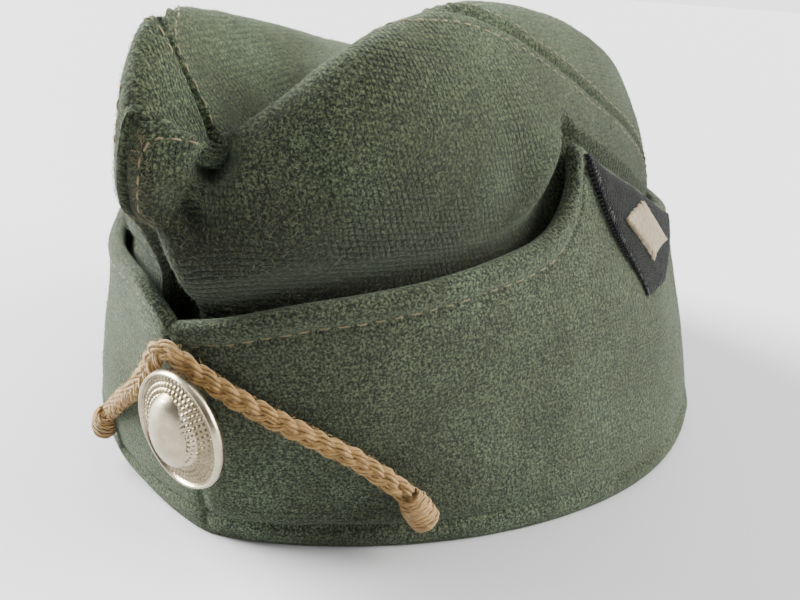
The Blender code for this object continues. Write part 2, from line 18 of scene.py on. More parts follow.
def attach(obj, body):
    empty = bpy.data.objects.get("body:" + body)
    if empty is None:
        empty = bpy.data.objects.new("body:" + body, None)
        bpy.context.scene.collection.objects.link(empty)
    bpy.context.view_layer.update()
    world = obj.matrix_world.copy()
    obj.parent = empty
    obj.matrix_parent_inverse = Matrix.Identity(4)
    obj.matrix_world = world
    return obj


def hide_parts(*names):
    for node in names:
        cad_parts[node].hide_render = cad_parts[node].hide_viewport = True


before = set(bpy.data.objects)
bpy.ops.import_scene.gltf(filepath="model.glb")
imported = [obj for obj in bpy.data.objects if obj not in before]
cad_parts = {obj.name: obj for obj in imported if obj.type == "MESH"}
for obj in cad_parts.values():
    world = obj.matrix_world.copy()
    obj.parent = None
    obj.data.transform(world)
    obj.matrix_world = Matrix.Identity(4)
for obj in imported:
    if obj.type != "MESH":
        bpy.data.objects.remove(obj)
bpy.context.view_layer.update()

print("CAD nodes:", ", ".join(sorted(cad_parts)))

# %% [markdown]
# ## The sizes of the cap
#
# The cap is worked out from a few named sizes in metres. "along" runs from 0 at the front
# seam to 1 at the back seam on either side, and "up" is a height above the table. Writing
# the cloth as a function of these two numbers keeps seams, stitches and fibres on the cloth,
# whatever its shape becomes.

# %% Named sizes
RIM_LENGTH = 0.2008
RIM_WIDTH = 0.1720
CROWN_HEIGHT = 0.1070
FRONT_LEAN = 0.194
BACK_LEAN = 0.200
SIDE_LEAN = {1: 0.210, -1: 0.320}
LEAN_GROWTH = 1.6
FRONT_POWER = {1: 1.38, -1: 1.47}
BACK_POWER = 1.10
CROWN_RAISE = 0.0008
WAIST_UP = 0.0480
WAIST_SLACK = 0.0014
WAIST_SWEEP = 0.030
SHOULDER_SHARE = 0.55
RIDGE_BELLY = 0.0065
RIGHT_BELLY_SHARE = 0.50
FRONT_TUCK_ASIDE = 0.0062
FRONT_TUCK_BACK = 0.0020
FRONT_TUCK_SPREAD = 0.060
CURTAIN_PEAK = 0.0800
CURTAIN_WALL = 0.0024
HEM_TURN = 0.0020
PIECE_GAP = 0.0003
CLOTH_WALL = 0.0013
SIDE_SEAM_BACK = 0.640
TOP_TIP = 0.045
RIM_MIDDLE = np.array([0.0001, 0.0087, 0.0])
LEFT, RIGHT = 1, -1
print("rim in mm:", RIM_LENGTH * 1000, "x", RIM_WIDTH * 1000)

# %% [markdown]
# ## The folds, as tables
#
# On the real cap the crown is three panels of cloth, and its look comes from where they fold:
# two ridges, a valley between them, the seams of the top panel and the wavy edge of the
# curtain. They could be sculpted, but a sculpture is hard to change. A short table for each
# fold, in shares of the named sizes, can be read and altered row by row, and a smooth curve
# through its rows gives every place between them.

# %% Tables of the folds
# RIDGE, MIDDLE_FOLD: along, then x, y and height in shares of half the rim and of the crown.
# SEAM: along, then place on the crown's cross section. EDGE: along, then share of the peak.
RIDGE = {
    LEFT: (
        (0.00, -0.009, -1.140, 0.813), (0.07, 0.076, -1.061, 0.778),
        (0.11, 0.112, -1.026, 0.792), (0.16, 0.169, -0.980, 0.832),
        (0.22, 0.244, -0.926, 0.893), (0.30, 0.308, -0.817, 0.952),
        (0.38, 0.349, -0.618, 0.990), (0.46, 0.382, -0.359, 0.995),
        (0.54, 0.420, -0.120, 0.975), (0.62, 0.468, 0.100, 0.933),
        (0.72, 0.484, 0.337, 0.875), (0.82, 0.413, 0.515, 0.809),
        (0.92, 0.233, 0.652, 0.746), (1.00, 0.000, 0.692, 0.727),
    ),
    RIGHT: (
        (0.00, 0.009, -1.140, 0.813), (0.07, 0.029, -1.105, 0.880),
        (0.11, 0.044, -1.071, 0.930), (0.16, 0.064, -1.026, 0.953),
        (0.22, 0.116, -0.906, 0.962), (0.30, 0.186, -0.727, 0.952),
        (0.38, 0.244, -0.498, 0.925), (0.46, 0.302, -0.259, 0.893),
        (0.54, 0.372, -0.040, 0.860), (0.62, 0.430, 0.159, 0.832),
        (0.72, 0.460, 0.358, 0.799), (0.82, 0.400, 0.518, 0.763),
        (0.92, 0.233, 0.652, 0.736), (1.00, 0.000, 0.692, 0.727),
    ),
}
MIDDLE_FOLD = (
    (0.00, 0.014, -1.114, 0.800), (0.045, 0.058, -1.040, 0.757),
    (0.09, 0.072, -0.970, 0.736), (0.16, 0.064, -0.890, 0.733),
    (0.22, 0.058, -0.797, 0.740), (0.30, 0.047, -0.637, 0.757),
    (0.38, 0.035, -0.438, 0.785), (0.46, 0.023, -0.219, 0.813),
    (0.54, 0.012, -0.020, 0.836), (0.62, 0.000, 0.159, 0.841),
    (0.72, 0.000, 0.309, 0.832), (0.82, 0.000, 0.418, 0.813),
    (0.92, 0.000, 0.498, 0.794), (1.00, 0.000, 0.538, 0.785),
)
SEAM = {
    LEFT: (
        (0.045, 4.85), (0.14, 4.30), (0.30, 3.45), (0.37, 3.00),
        (0.44, 2.55), (0.52, 2.10), (0.60, 1.60), (0.64, 1.05),
    ),
    RIGHT: (
        (0.045, 4.85), (0.09, 4.35), (0.13, 3.62), (0.17, 3.10), (0.22, 2.80),
        (0.30, 2.55), (0.44, 2.30), (0.56, 1.80), (0.64, 1.05),
    ),
}
EDGE = {
    LEFT: (
        (0.000, 0.638), (0.068, 0.659), (0.136, 0.698), (0.225, 0.734), (0.278, 0.765),
        (0.318, 0.796), (0.342, 0.844), (0.363, 0.920), (0.375, 1.000), (0.393, 0.955),
        (0.449, 0.844), (0.500, 0.750), (0.560, 0.719), (0.700, 0.700), (1.000, 0.688),
    ),
    RIGHT: (
        (0.000, 0.638), (0.042, 0.685), (0.084, 0.722), (0.156, 0.715), (0.200, 0.690),
        (0.250, 0.685), (0.310, 0.720), (0.345, 0.770), (0.372, 0.850), (0.390, 0.925),
        (0.402, 0.965), (0.420, 0.930), (0.470, 0.830), (0.520, 0.750), (0.580, 0.719),
        (0.700, 0.700), (1.000, 0.688),
    ),
}
print("rows in the fold tables:", len(RIDGE[LEFT]), len(RIDGE[RIGHT]), len(MIDDLE_FOLD))


# %% Read a table smoothly
def read_table(rows, place):
    """Values of a table's columns at place, on a smooth curve through its rows."""
    last = len(rows) - 1
    if place <= rows[0][0]:
        return np.array(rows[0][1:])
    if place >= rows[last][0]:
        return np.array(rows[last][1:])
    index = 0
    while rows[index + 1][0] < place:
        index += 1
    low, high = np.array(rows[index]), np.array(rows[index + 1])
    before, after = np.array(rows[max(index - 1, 0)]), np.array(rows[min(index + 2, last)])
    span = high[0] - low[0]
    s = (place - low[0]) / span
    leave = (high - before)[1:] / (high[0] - before[0]) * span
    arrive = (after - low)[1:] / (after[0] - low[0]) * span
    return (
        (2 * s**3 - 3 * s**2 + 1) * low[1:]
        + (s**3 - 2 * s**2 + s) * leave
        + (3 * s**2 - 2 * s**3) * high[1:]
        + (s**3 - s**2) * arrive
    )


EDGE_AT = np.linspace(0.0, 1.0, 801)
EDGE_UP = {
    side: np.array([read_table(EDGE[side], at)[0] for at in EDGE_AT]) * CURTAIN_PEAK
    for side in (LEFT, RIGHT)
}


def edge_up(side, along):
    """Height of the curtain's top edge, for one place or an array of them."""
    return np.interp(along, EDGE_AT, EDGE_UP[side])


print("curtain's edge at the front, in mm:", round(float(edge_up(LEFT, 0.0)) * 1000, 1))

# %% [markdown]
# ## Camera, table and light
#
# The picture was taken from close by, a little above the crown, so the near side looms and
# the far ridge shrinks. A 36 mm lens some fifteen centimetres away gives the same look. The
# camera is rolled by four degrees, as a hand-held one is. Wide soft lights from behind, on
# the left and on the right, leave the near side in gentle shade and show the nap of the wool
# on the slopes. Distant lamps light a large pale table evenly, which area lamps would not,
# and a bright band low in the sky fills the shade, as the walls of a studio do.

# %% Place the camera
CAMERA_AT = Vector((0.0857823, -0.2124216, 0.1092069)) + Vector(RIM_MIDDLE)
TURN, TIP, ROLL = 0.389765, 0.377406, 0.0701206
ahead = Vector(
    (-math.sin(TURN) * math.cos(TIP), math.cos(TURN) * math.cos(TIP), -math.sin(TIP))
)
level = Vector((math.cos(TURN), math.sin(TURN), 0.0))
above = level.cross(ahead)
rolled_level = level * math.cos(ROLL) + above * math.sin(ROLL)
rolled_above = above * math.cos(ROLL) - level * math.sin(ROLL)
camera_data = bpy.data.cameras.new("Camera")
camera_data.sensor_width = 36.0
camera_data.lens = 36.003
camera_data.clip_start = 0.01
camera = bpy.data.objects.new("Camera", camera_data)
bpy.context.scene.collection.objects.link(camera)
axes = Matrix((rolled_level, rolled_above, -ahead)).transposed()
camera.matrix_world = Matrix.Translation(CAMERA_AT) @ axes.to_4x4()
bpy.context.scene.camera = camera
print("camera height in mm:", round(CAMERA_AT.z * 1000, 1))


# %% [markdown]
# ## A few helpers for shader nodes
#
# The finishes below are made of nodes: noise for wear, ramps for colour, and sums that join
# them. Each could be clicked together in the shader editor. As small functions they can be
# used again for wool, thread and metal, and the recipe stays readable in a few lines.


# %% Helpers for shader nodes
def new_material(name):
    """Material with its Principled shader; returns the material, its nodes and the shader."""
    made = bpy.data.materials.new(name)
    made.use_nodes = True
    return made, made.node_tree, made.node_tree.nodes["Principled BSDF"]


def add_node(tree, kind, sockets=None, **settings):
    """Node of a kind with its settings; sockets maps an input to a value or an output."""
    node = tree.nodes.new(kind)
    for name, value in settings.items():
        setattr(node, name, value)
    for key, value in (sockets or {}).items():
        if isinstance(value, bpy.types.NodeSocket):
            tree.links.new(value, node.inputs[key])
        else:
            node.inputs[key].default_value = value
    return node


def calculate(tree, operation, first, second=0.0):
    """Output of a Math node."""
    sockets = {0: first, 1: second}
    return add_node(tree, "ShaderNodeMath", sockets, operation=operation).outputs[0]


def speckle(tree, where, scale, detail=2.0, rough=0.5):
    """Output of a Noise texture."""
    sockets = {"Vector": where, "Scale": scale, "Detail": detail, "Roughness": rough}
    return add_node(tree, "ShaderNodeTexNoise", sockets).outputs["Fac"]


def ramp(tree, value, stops):
    """Colour output of a colour ramp; stops are (place, colour)."""
    node = add_node(tree, "ShaderNodeValToRGB", {0: value})
    band = node.color_ramp
    while len(band.elements) < len(stops):
        band.elements.new(0.5)
    for element, (place, colour) in zip(band.elements, stops):
        element.position = place
        element.color = (*colour, 1.0)
    return node.outputs["Color"]


def blend_colour(tree, share, first, second, how="MIX"):
    """Colour output of a Mix node."""
    node = add_node(tree, "ShaderNodeMix", data_type="RGBA", blend_type=how)
    for key, value in ((0, share), (6, first), (7, second)):
        if isinstance(value, bpy.types.NodeSocket):
            tree.links.new(value, node.inputs[key])
        elif key == 0:
            node.inputs[key].default_value = value
        else:
            node.inputs[key].default_value = (*value, 1.0)
    return node.outputs[2]


print("shader helpers ready")

# %% Lay the table and hang the lights
TABLE_HALF = 40.0


def plain_floor():
    """Wide pale table top under the cap."""
    signs = ((-1, -1), (1, -1), (1, 1), (-1, 1))
    corners = [(TABLE_HALF * x, TABLE_HALF * y, 0.0) for x, y in signs]
    mesh = bpy.data.meshes.new("table_top")
    mesh.from_pydata(corners, [], [(0, 1, 2, 3)])
    top = bpy.data.objects.new("table_top", mesh)
    bpy.context.scene.collection.objects.link(top)
    made, _, shader = new_material("pale_table")
    shader.inputs["Base Color"].default_value = (0.37, 0.37, 0.373, 1.0)
    shader.inputs["Roughness"].default_value = 0.65
    mesh.materials.append(made)


def soft_sun(name, comes_from, spread, strength, colour):
    """Distant lamp behind a wide diffuser; spread is its apparent size in degrees."""
    data = bpy.data.lights.new(name, "SUN")
    data.angle = math.radians(spread)
    data.energy = strength
    data.color = colour
    lamp = bpy.data.objects.new(name, data)
    bpy.context.scene.collection.objects.link(lamp)
    lamp.rotation_euler = Vector(comes_from).to_track_quat("Z", "Y").to_euler()


plain_floor()
soft_sun("window_left", (-1.0, -0.05, 0.60), 38.0, 27.0, (0.97, 1.0, 0.97))
soft_sun("window_right", (1.0, 0.52, 0.62), 42.0, 11.6, (0.99, 1.0, 0.98))
soft_sun("ceiling", (0.0, 0.6, 1.0), 60.0, 4.0, (1.0, 1.0, 1.0))
world = bpy.data.worlds.new("studio")
world.use_nodes = True
sky = world.node_tree
direction = add_node(sky, "ShaderNodeTexCoord").outputs["Generated"]
upward = add_node(sky, "ShaderNodeSeparateXYZ", {0: direction}).outputs[2]
band = ramp(sky, upward, ((0.10, (1.0, 1.0, 1.0)), (0.26, (0.145, 0.147, 0.150))))
sky.links.new(band, sky.nodes["Background"].inputs["Color"])
sky.nodes["Background"].inputs["Strength"].default_value = 2.5
bpy.context.scene.world = world

# %% [markdown]
# ## The wool
#
# The cloth is a plain weave in grey-green wool, milled until fibres cover most of the
# yarns. Two wave-like terms in the cloth's own metres make the grid of the yarns, noise
# pulls them out of line, and a slower noise says where milling left the weave open. Where it
# shows, the gaps between yarns are painted darker and the yarns lighter, as painted shade and
# light of the weave. Colour comes from dyed fibres of several greens and browns, so it is
# mixed at four scales: worn patches, yarns, pale flecks and dark specks. Low down near the
# curtain's edge the crown is painted darker, as painted shade, and it is a little lighter
# towards the top. A sheen lobe gives the bloom that wool shows along its outlines.


# %% Weave the yarns
BLACK, WHITE = (0.0, 0.0, 0.0), (1.0, 1.0, 1.0)


def weave_pattern(tree, place, pitch, open_share):
    """Two values: 1 on a yarn and 0 between yarns, and how much of the weave shows there."""
    uv = add_node(tree, "ShaderNodeUVMap", uv_map="cloth").outputs[0]
    parts = add_node(tree, "ShaderNodeSeparateXYZ", {0: uv}).outputs
    pull = calculate(tree, "SUBTRACT", speckle(tree, place, 520.0, 3.0), 0.5)
    pull_back = calculate(tree, "SUBTRACT", speckle(tree, place, 610.0, 3.0), 0.5)
    waves = []
    for axis, shift in ((0, pull), (1, pull_back)):
        counted = calculate(tree, "MULTIPLY", parts[axis], math.pi / pitch)
        moved = calculate(tree, "ADD", counted, calculate(tree, "MULTIPLY", shift, 3.0))
        waves.append(calculate(tree, "SINE", moved))
    crossing = calculate(tree, "MULTIPLY", waves[0], waves[1])
    weave = calculate(tree, "POWER", calculate(tree, "ABSOLUTE", crossing), 0.6)
    milled = ramp(tree, speckle(tree, place, 55.0, 3.0), ((0.36, BLACK), (0.64, WHITE)))
    open_weave = calculate(tree, "MULTIPLY", milled, open_share)
    return weave, calculate(tree, "ADD", open_weave, open_share * 0.3)


print("weave pattern ready")


# %% Dye the wool and paint its shade
def wool_colour(tree, place, weave, open_weave, matted, tones):
    """Colour of the cloth, from its clouds down to its specks."""
    dark, middle, light = tones
    worn = speckle(tree, place, 42.0, 5.0, 0.65)
    clouds = ramp(tree, worn, ((0.26, dark), (0.52, middle), (0.80, light)))
    yarns = ramp(
        tree,
        matted,
        ((0.42, (0.14, 0.14, 0.15)), (0.5, (0.76, 0.76, 0.75)), (0.59, (2.60, 2.54, 2.18))),
    )
    colour = blend_colour(tree, 0.95, clouds, yarns, "MULTIPLY")
    # Painted shade between the yarns and painted light on them, where the weave shows.
    painted_weave_shade = ramp(tree, weave, ((0.15, (0.24, 0.24, 0.25)), (0.75, (1.22, 1.22, 1.18))))
    colour = blend_colour(tree, open_weave, colour, painted_weave_shade, "MULTIPLY")
    fleck = ramp(tree, speckle(tree, place, 1900.0, 2.0), ((0.60, BLACK), (0.70, WHITE)))
    fleck_share = calculate(tree, "MULTIPLY", fleck, 0.30 if light[1] > 0.02 else 0.06)
    colour = blend_colour(tree, fleck_share, colour, (0.122, 0.116, 0.064))
    speck = ramp(tree, speckle(tree, place, 820.0, 2.0), ((0.60, BLACK), (0.68, WHITE)))
    speck_share = calculate(tree, "MULTIPLY", speck, 0.55)
    return blend_colour(tree, speck_share, colour, (0.008, 0.010, 0.0075))


def shade_by_height(tree, place, colour, low, high, under, top):
    """Darken a colour below the height low as painted shade, and lighten it above high."""
    above_table = add_node(tree, "ShaderNodeSeparateXYZ", {0: place}).outputs[2]
    share = add_node(tree, "ShaderNodeMapRange", {0: above_table, 1: low, 2: high}).outputs[0]
    # Painted shade: a darker, slightly warmer tone low down, near the curtain's edge.
    painted_shade = (under * 1.10, under, under * 0.94)
    lighter_top = (top * 0.95, top * 1.03, top)
    height_tone = ramp(tree, share, ((0.0, painted_shade), (1.0, lighter_top)))
    return blend_colour(tree, 1.0, colour, height_tone, "MULTIPLY")


print("dyes ready")


# %% Mix the wool
def wool_material(
    name, dark, middle, light, pitch=0.00125, depth=0.00034, sheen=0.13, open_share=0.74,
    height_shade=None,
):
    """Felted plain weave, in three tones from its dark to its light clouds.

    pitch is the spacing of the yarns and depth the height of the relief, both in metres.
    open_share says how much weave shows. The last argument holds two heights above the table
    and how bright the cloth is at each: darker below the first, as painted shade, and a little
    lighter above the second.
    """
    made, tree, shader = new_material(name)
    place = add_node(tree, "ShaderNodeTexCoord").outputs["Object"]
    weave, open_weave = weave_pattern(tree, place, pitch, open_share)
    fibre = speckle(tree, place, 2900.0, 4.0, 0.75)
    matted = speckle(tree, place, 2000.0, 5.0, 0.75)
    weave_part = calculate(tree, "MULTIPLY", weave, open_weave)
    nap = calculate(tree, "MULTIPLY", calculate(tree, "ADD", fibre, matted), 1.05)
    height = calculate(tree, "ADD", weave_part, nap)
    bump = add_node(
        tree, "ShaderNodeBump", {"Strength": 1.0, "Distance": depth, "Height": height}
    )
    tree.links.new(bump.outputs[0], shader.inputs["Normal"])
    colour = wool_colour(tree, place, weave, open_weave, matted, (dark, middle, light))
    if height_shade:
        colour = shade_by_height(tree, place, colour, *height_shade)
    tree.links.new(colour, shader.inputs["Base Color"])
    shader.inputs["Roughness"].default_value = 0.96
    shader.inputs["Specular IOR Level"].default_value = 0.15
    shader.inputs["Sheen Weight"].default_value = sheen
    shader.inputs["Sheen Roughness"].default_value = 0.38
    shader.inputs["Sheen Tint"].default_value = (0.78, 0.95, 0.70, 1.0)
    return made


# Painted shade: the crown's colour is times 0.24 below 60 mm, and times 1.08 above 102 mm.
crown_wool = wool_material(
    "crown_wool", (0.0205, 0.0222, 0.0122), (0.0355, 0.0405, 0.0235), (0.054, 0.070, 0.0450),
    height_shade=(0.060, 0.102, 0.24, 1.08),
)
curtain_wool = wool_material(
    "curtain_wool", (0.0205, 0.0232, 0.0145), (0.0345, 0.0410, 0.0265), (0.053, 0.070, 0.0500),
    open_share=0.36,
)
print("wool materials:", crown_wool.name, curtain_wool.name)

# %% [markdown]
# ## From a grid of points to a piece of cloth
#
# Every cloth piece below is a grid of points, found with numpy, that is turned into quads.
# A grid keeps control of where the loops run: they can crowd together at a seam and spread
# out on the plain parts. Each grid also carries its own metres as a UV map, which is what
# the weave is measured in.


# %% Grid helpers
def mesh_piece(name, points, faces, material, loops_uv=None):
    """Smooth-shaded object from points and faces, with its cloth's metres as a UV map."""
    mesh = bpy.data.meshes.new(name)
    mesh.from_pydata([tuple(point) for point in points], [], faces)
    if loops_uv is not None:
        layer = mesh.uv_layers.new(name="cloth")
        layer.data.foreach_set("uv", np.asarray(loops_uv, dtype=np.float32).ravel())
    mesh.update()
    mesh.shade_smooth()
    mesh.materials.append(material)
    piece = bpy.data.objects.new(name, mesh)
    bpy.context.scene.collection.objects.link(piece)
    return piece


def grid_piece(name, grid, metres, material, flip=False, ring=False, loop=False, keep=None):
    """Object from a grid of points, with a quad in each of its meshes.

    ring joins the last column to the first, and loop the last row. keep says which quads to
    make, where not all of them are cloth.
    """
    columns, rows = grid.shape[:2]
    points = (grid + RIM_MIDDLE).reshape(-1, 3)
    faces, loops_uv = [], []
    for i in range(columns if ring else columns - 1):
        for j in range(rows if loop else rows - 1):
            if keep is not None and not keep(i, j):
                continue
            near, far = (i + 1) % columns, (j + 1) % rows
            corners = [(i, j), (near, j), (near, far), (i, far)]
            places = [(i, j), (i + 1, j), (i + 1, j + 1), (i, j + 1)]
            if flip:
                corners, places = corners[::-1], places[::-1]
            faces.append([a * rows + b for a, b in corners])
            loops_uv += [metres[a, b] for a, b in places]
    return mesh_piece(name, points, faces, material, loops_uv)


def unit(vectors):
    """Each vector at length 1."""
    return vectors / np.maximum(np.linalg.norm(vectors, axis=-1, keepdims=True), 1e-12)


def lengths_along(points):
    """Length of a line of points up to each of them."""
    steps = np.linalg.norm(np.diff(points, axis=0), axis=1)
    return np.concatenate(([0.0], np.cumsum(steps)))


def grid_normals(grid, sign=1.0):
    """Unit normals of a grid of points."""
    return unit(np.cross(np.gradient(grid, axis=0), np.gradient(grid, axis=1)) * sign)


def cloudy(points, size, seed):
    """Smooth noise from -1 to 1 at each point; size is its wavelength in metres."""
    flat = points.reshape(-1, 3) / size + seed
    values = [noise.noise(Vector(place)) for place in flat]
    return np.array(values).reshape(points.shape[:-1])


def near_line(points, line, width):
    """1 on a line of points, falling off smoothly to 0 over the width."""
    flat = points.reshape(-1, 3)
    closest = np.full(len(flat), 1e9)
    for place in line:
        closest = np.minimum(closest, ((flat - place) ** 2).sum(axis=1))
    return np.exp(-closest / width**2).reshape(points.shape[:-1])


print("grid helpers ready")

# %% [markdown]
# ## The cap's shape as functions
#
# The curtain leans outwards and bends round the head, so its face is a rounded outline that
# grows with height. Pieces that are sewn to it ask this function where to lie. Lofting a
# surface through a few curves would look alike, but stitches and cord would then have to be
# snapped to it, and they would shift whenever it changed.


# %% The curtain's face
def curtain_face(side, along, up, inset=0.0):
    """Points of the curtain's outer face, or of a face that lies inset inside it."""
    along, up = np.asarray(along, dtype=float), np.asarray(up, dtype=float)
    turn = np.pi * along
    rise = np.maximum(up - HEM_TURN, 0.0)
    reach = RIM_LENGTH / 2 - inset + np.where(along < 0.5, FRONT_LEAN, -BACK_LEAN) * rise
    half = RIM_WIDTH / 2 - inset - (SIDE_LEAN[side] + LEAN_GROWTH * rise) * rise
    power = FRONT_POWER[side] + (BACK_POWER - FRONT_POWER[side]) * along
    across = np.clip(np.sin(turn), 0.0, 1.0) ** power
    across = np.where((along <= 0.0) | (along >= 1.0), 0.0, across)
    return np.stack(np.broadcast_arrays(side * half * across, -reach * np.cos(turn), up), -1)


def outward(side, along, up):
    """Unit vector that points out of the curtain's outer face."""
    step = 0.002
    low = curtain_face(side, max(along - step, 0.0), up)
    high = curtain_face(side, min(along + step, 1.0), up)
    rise = curtain_face(side, along, up + 0.001) - curtain_face(side, along, up)
    if along < step or along > 1.0 - step:
        forward = -1.0 if along < 0.5 else 1.0
        normal = np.array((0.0, rise[2] * forward, -rise[1] * forward))
    else:
        normal = np.cross(high - low, rise) * side
    return normal / np.linalg.norm(normal)


def on_curtain(side, along, up, stand):
    """Point that stands off the curtain's outer face."""
    return curtain_face(side, along, up) + outward(side, along, up) * stand


front_low, front_high = (curtain_face(LEFT, 0.0, up) for up in (HEM_TURN, CURTAIN_PEAK))
print("front leans forward, in mm:", round((front_low[1] - front_high[1]) * 1000, 1))

# %% [markdown]
# ## The crown's cross section
#
# Cut the crown across and the cut shows one line of cloth: from the rim up behind the
# curtain, out over a shoulder, over a ridge, down to the middle fold, and the same again on
# the other side. Eleven points fix that line at each place along the cap. A spline that
# spaces its steps by their length carries the cloth through them without overshooting where
# the points crowd.

# %% The crown's cross section
SHARES = np.array([RIM_WIDTH / 2, RIM_LENGTH / 2, CROWN_HEIGHT])
MIDDLE_PLACE = 5.0


def half_section(side, along):
    """Rim, waist, shoulder, ridge and inner slope of one side, and the middle fold."""
    ridge = read_table(RIDGE[side], along) * SHARES
    ridge[0] *= side
    fold = read_table(MIDDLE_FOLD, along) * SHARES
    inset = CURTAIN_WALL + PIECE_GAP
    rim = curtain_face(side, along, CROWN_RAISE, inset)
    arch = math.sin(math.pi * along)
    sweep = along - WAIST_SWEEP * arch
    waist = curtain_face(side, sweep, WAIST_UP, inset + WAIST_SLACK)
    front = math.exp(-((along / FRONT_TUCK_SPREAD) ** 2))
    waist = waist + np.array((-FRONT_TUCK_ASIDE, FRONT_TUCK_BACK, 0.0)) * front
    belly = RIDGE_BELLY * (0.55 + 0.45 * arch)
    if side == RIGHT:
        belly *= 1.0 - (1.0 - RIGHT_BELLY_SHARE) * arch
    shoulder = waist + (ridge - waist) * SHOULDER_SHARE
    shoulder = shoulder + outward(side, sweep, WAIST_UP) * belly
    return [rim, waist, shoulder, ridge, (ridge + fold) / 2], fold


def section(side, along):
    """Control points of the crown's cross section, from one rim over the top to the other."""
    near, fold = half_section(side, along)
    far, _ = half_section(-side, along)
    return np.array(near + [fold] + far[::-1])


print("points on a cross section:", len(section(LEFT, 0.5)))


# %% A smooth line of cloth through them
def curve_points(controls, places):
    """Points of the smooth curve through the controls, at an array of places."""
    last = len(controls) - 1
    index = np.clip(places.astype(int), 0, last - 1)
    s = (places - index)[:, None]
    p1, p2 = controls[index], controls[index + 1]
    p0 = np.where((index > 0)[:, None], controls[index - 1], 2 * p1 - p2)
    ahead_index = np.minimum(index + 2, last)
    p3 = np.where((index + 2 <= last)[:, None], controls[ahead_index], 2 * p2 - p1)
    steps = [
        np.sqrt(np.maximum(np.linalg.norm(b - a, axis=1, keepdims=True), 1e-5))
        for a, b in ((p0, p1), (p1, p2), (p2, p3))
    ]
    k0, k1, k2 = steps
    leave = ((p1 - p0) / k0 - (p2 - p0) / (k0 + k1) + (p2 - p1) / k1) * k1
    arrive = ((p2 - p1) / k1 - (p3 - p1) / (k1 + k2) + (p3 - p2) / k2) * k1
    return (
        p1 * (2 * s**3 - 3 * s**2 + 1)
        + leave * (s**3 - 2 * s**2 + s)
        + p2 * (3 * s**2 - 2 * s**3)
        + arrive * (s**3 - s**2)
    )


def seam_place(side, along):
    """Place on the section where a side meets the top panel."""
    return MIDDLE_PLACE if along < TOP_TIP else float(read_table(SEAM[side], along)[0])


def measured(controls, start, end, count=160):
    """Places along a stretch of the section and the lengths at them."""
    places = np.linspace(start, end, count)
    return places, lengths_along(curve_points(controls, places))


front_section = measured(section(LEFT, 0.0), 0.0, MIDDLE_PLACE)[1][-1]
print("front seam, rim to fold, in mm:", round(front_section * 1000, 1))

# %% [markdown]
# ## The crown's relief
#
# A soft crown never lies smooth. It is pulled in by its seams, pinched where the front folds
# over itself, tucked behind the curtain, and dented by the hand. Each of these is a short
# line or spot on the cloth, given as side, along and place on the section, and the cloth is
# pushed in or out near it. This is quicker to steer than a simulation, and it gives the same
# cap on every run.

# %% Creases, rolls and dents of the crown
CREASES = (
    # side, width, depth (in above 0, out below 0), ((along, place), ...)
    (LEFT, 0.0034, 0.0046, ((0.008, 1.90), (0.017, 1.62), (0.026, 1.40), (0.036, 1.15))),
    (LEFT, 0.0050, -0.0022, ((0.040, 1.80), (0.052, 1.55), (0.068, 1.35), (0.090, 1.18))),
    (LEFT, 0.0023, 0.0068, ((0.079, 2.63), (0.083, 2.66), (0.087, 2.70), (0.090, 2.75))),
    (LEFT, 0.0026, -0.0011, ((0.040, 2.84), (0.058, 2.86), (0.070, 2.88))),
    (LEFT, 0.0036, 0.0036, ((0.054, 2.30), (0.060, 2.28))),
    (LEFT, 0.0040, 0.0016, ((0.046, 2.66), (0.060, 2.66))),
    (LEFT, 0.0060, -0.0012, ((0.026, 2.20), (0.028, 2.50))),
    (LEFT, 0.0120, -0.0018, ((0.120, 2.20), (0.150, 2.10), (0.190, 2.00))),
    (LEFT, 0.0110, 0.0020, ((0.210, 1.90), (0.240, 1.80), (0.280, 1.65))),
    (LEFT, 0.0075, 0.0026, ((0.325, 1.50), (0.345, 1.66), (0.358, 1.82))),
    (RIGHT, 0.0090, -0.0012, ((0.070, 2.20), (0.080, 2.60))),
    (RIGHT, 0.0070, 0.0016, ((0.045, 1.50), (0.060, 1.30))),
    (RIGHT, 0.0110, 0.0014, ((0.300, 2.20), (0.360, 2.10), (0.420, 2.00))),
    (RIGHT, 0.0120, -0.0012, ((0.480, 2.10), (0.540, 1.90))),
)
SEAM_DEPTH = 0.0013
SEAM_WIDTH = 0.0016
crease_lines = []
for crease_side, crease_width, crease_depth, crease_spots in CREASES:
    spots = np.array(crease_spots)
    steps = np.linspace(0.0, 1.0, 14)
    marks = np.linspace(0.0, 1.0, len(spots))
    line = [
        curve_points(
            section(crease_side, float(np.interp(step, marks, spots[:, 0]))),
            np.array([np.interp(step, marks, spots[:, 1])]),
        )[0]
        for step in steps
    ]
    crease_lines.append((line, crease_width, crease_depth))
print("creases and rolls:", len(crease_lines))


# %% [markdown]
# ## Where the crown meets the curtain
#
# On the real cap the crown goes down behind the curtain, and the curtain's edge presses a
# shallow trough into it. A cloth simulation with collisions would find that trough. Moving
# each point of the crown inwards by a rule, until it clears the curtain's inner face, gives
# it in one step and never lets the two cloths cross.

# %% Keep the crown behind the curtain
CROWN_SLACK = 0.0009
EDGE_ROLL = 0.0009
OVERHANG = 0.6
EDGE_TUCK = 0.0016
EDGE_TUCK_UP = 0.0050
TUCK_AT = (0.0, 0.28, 0.335, 0.365, 0.385, 1.0)
TUCK_SHARE = (1.0, 1.0, 2.0, 1.8, 0.0, 0.0)


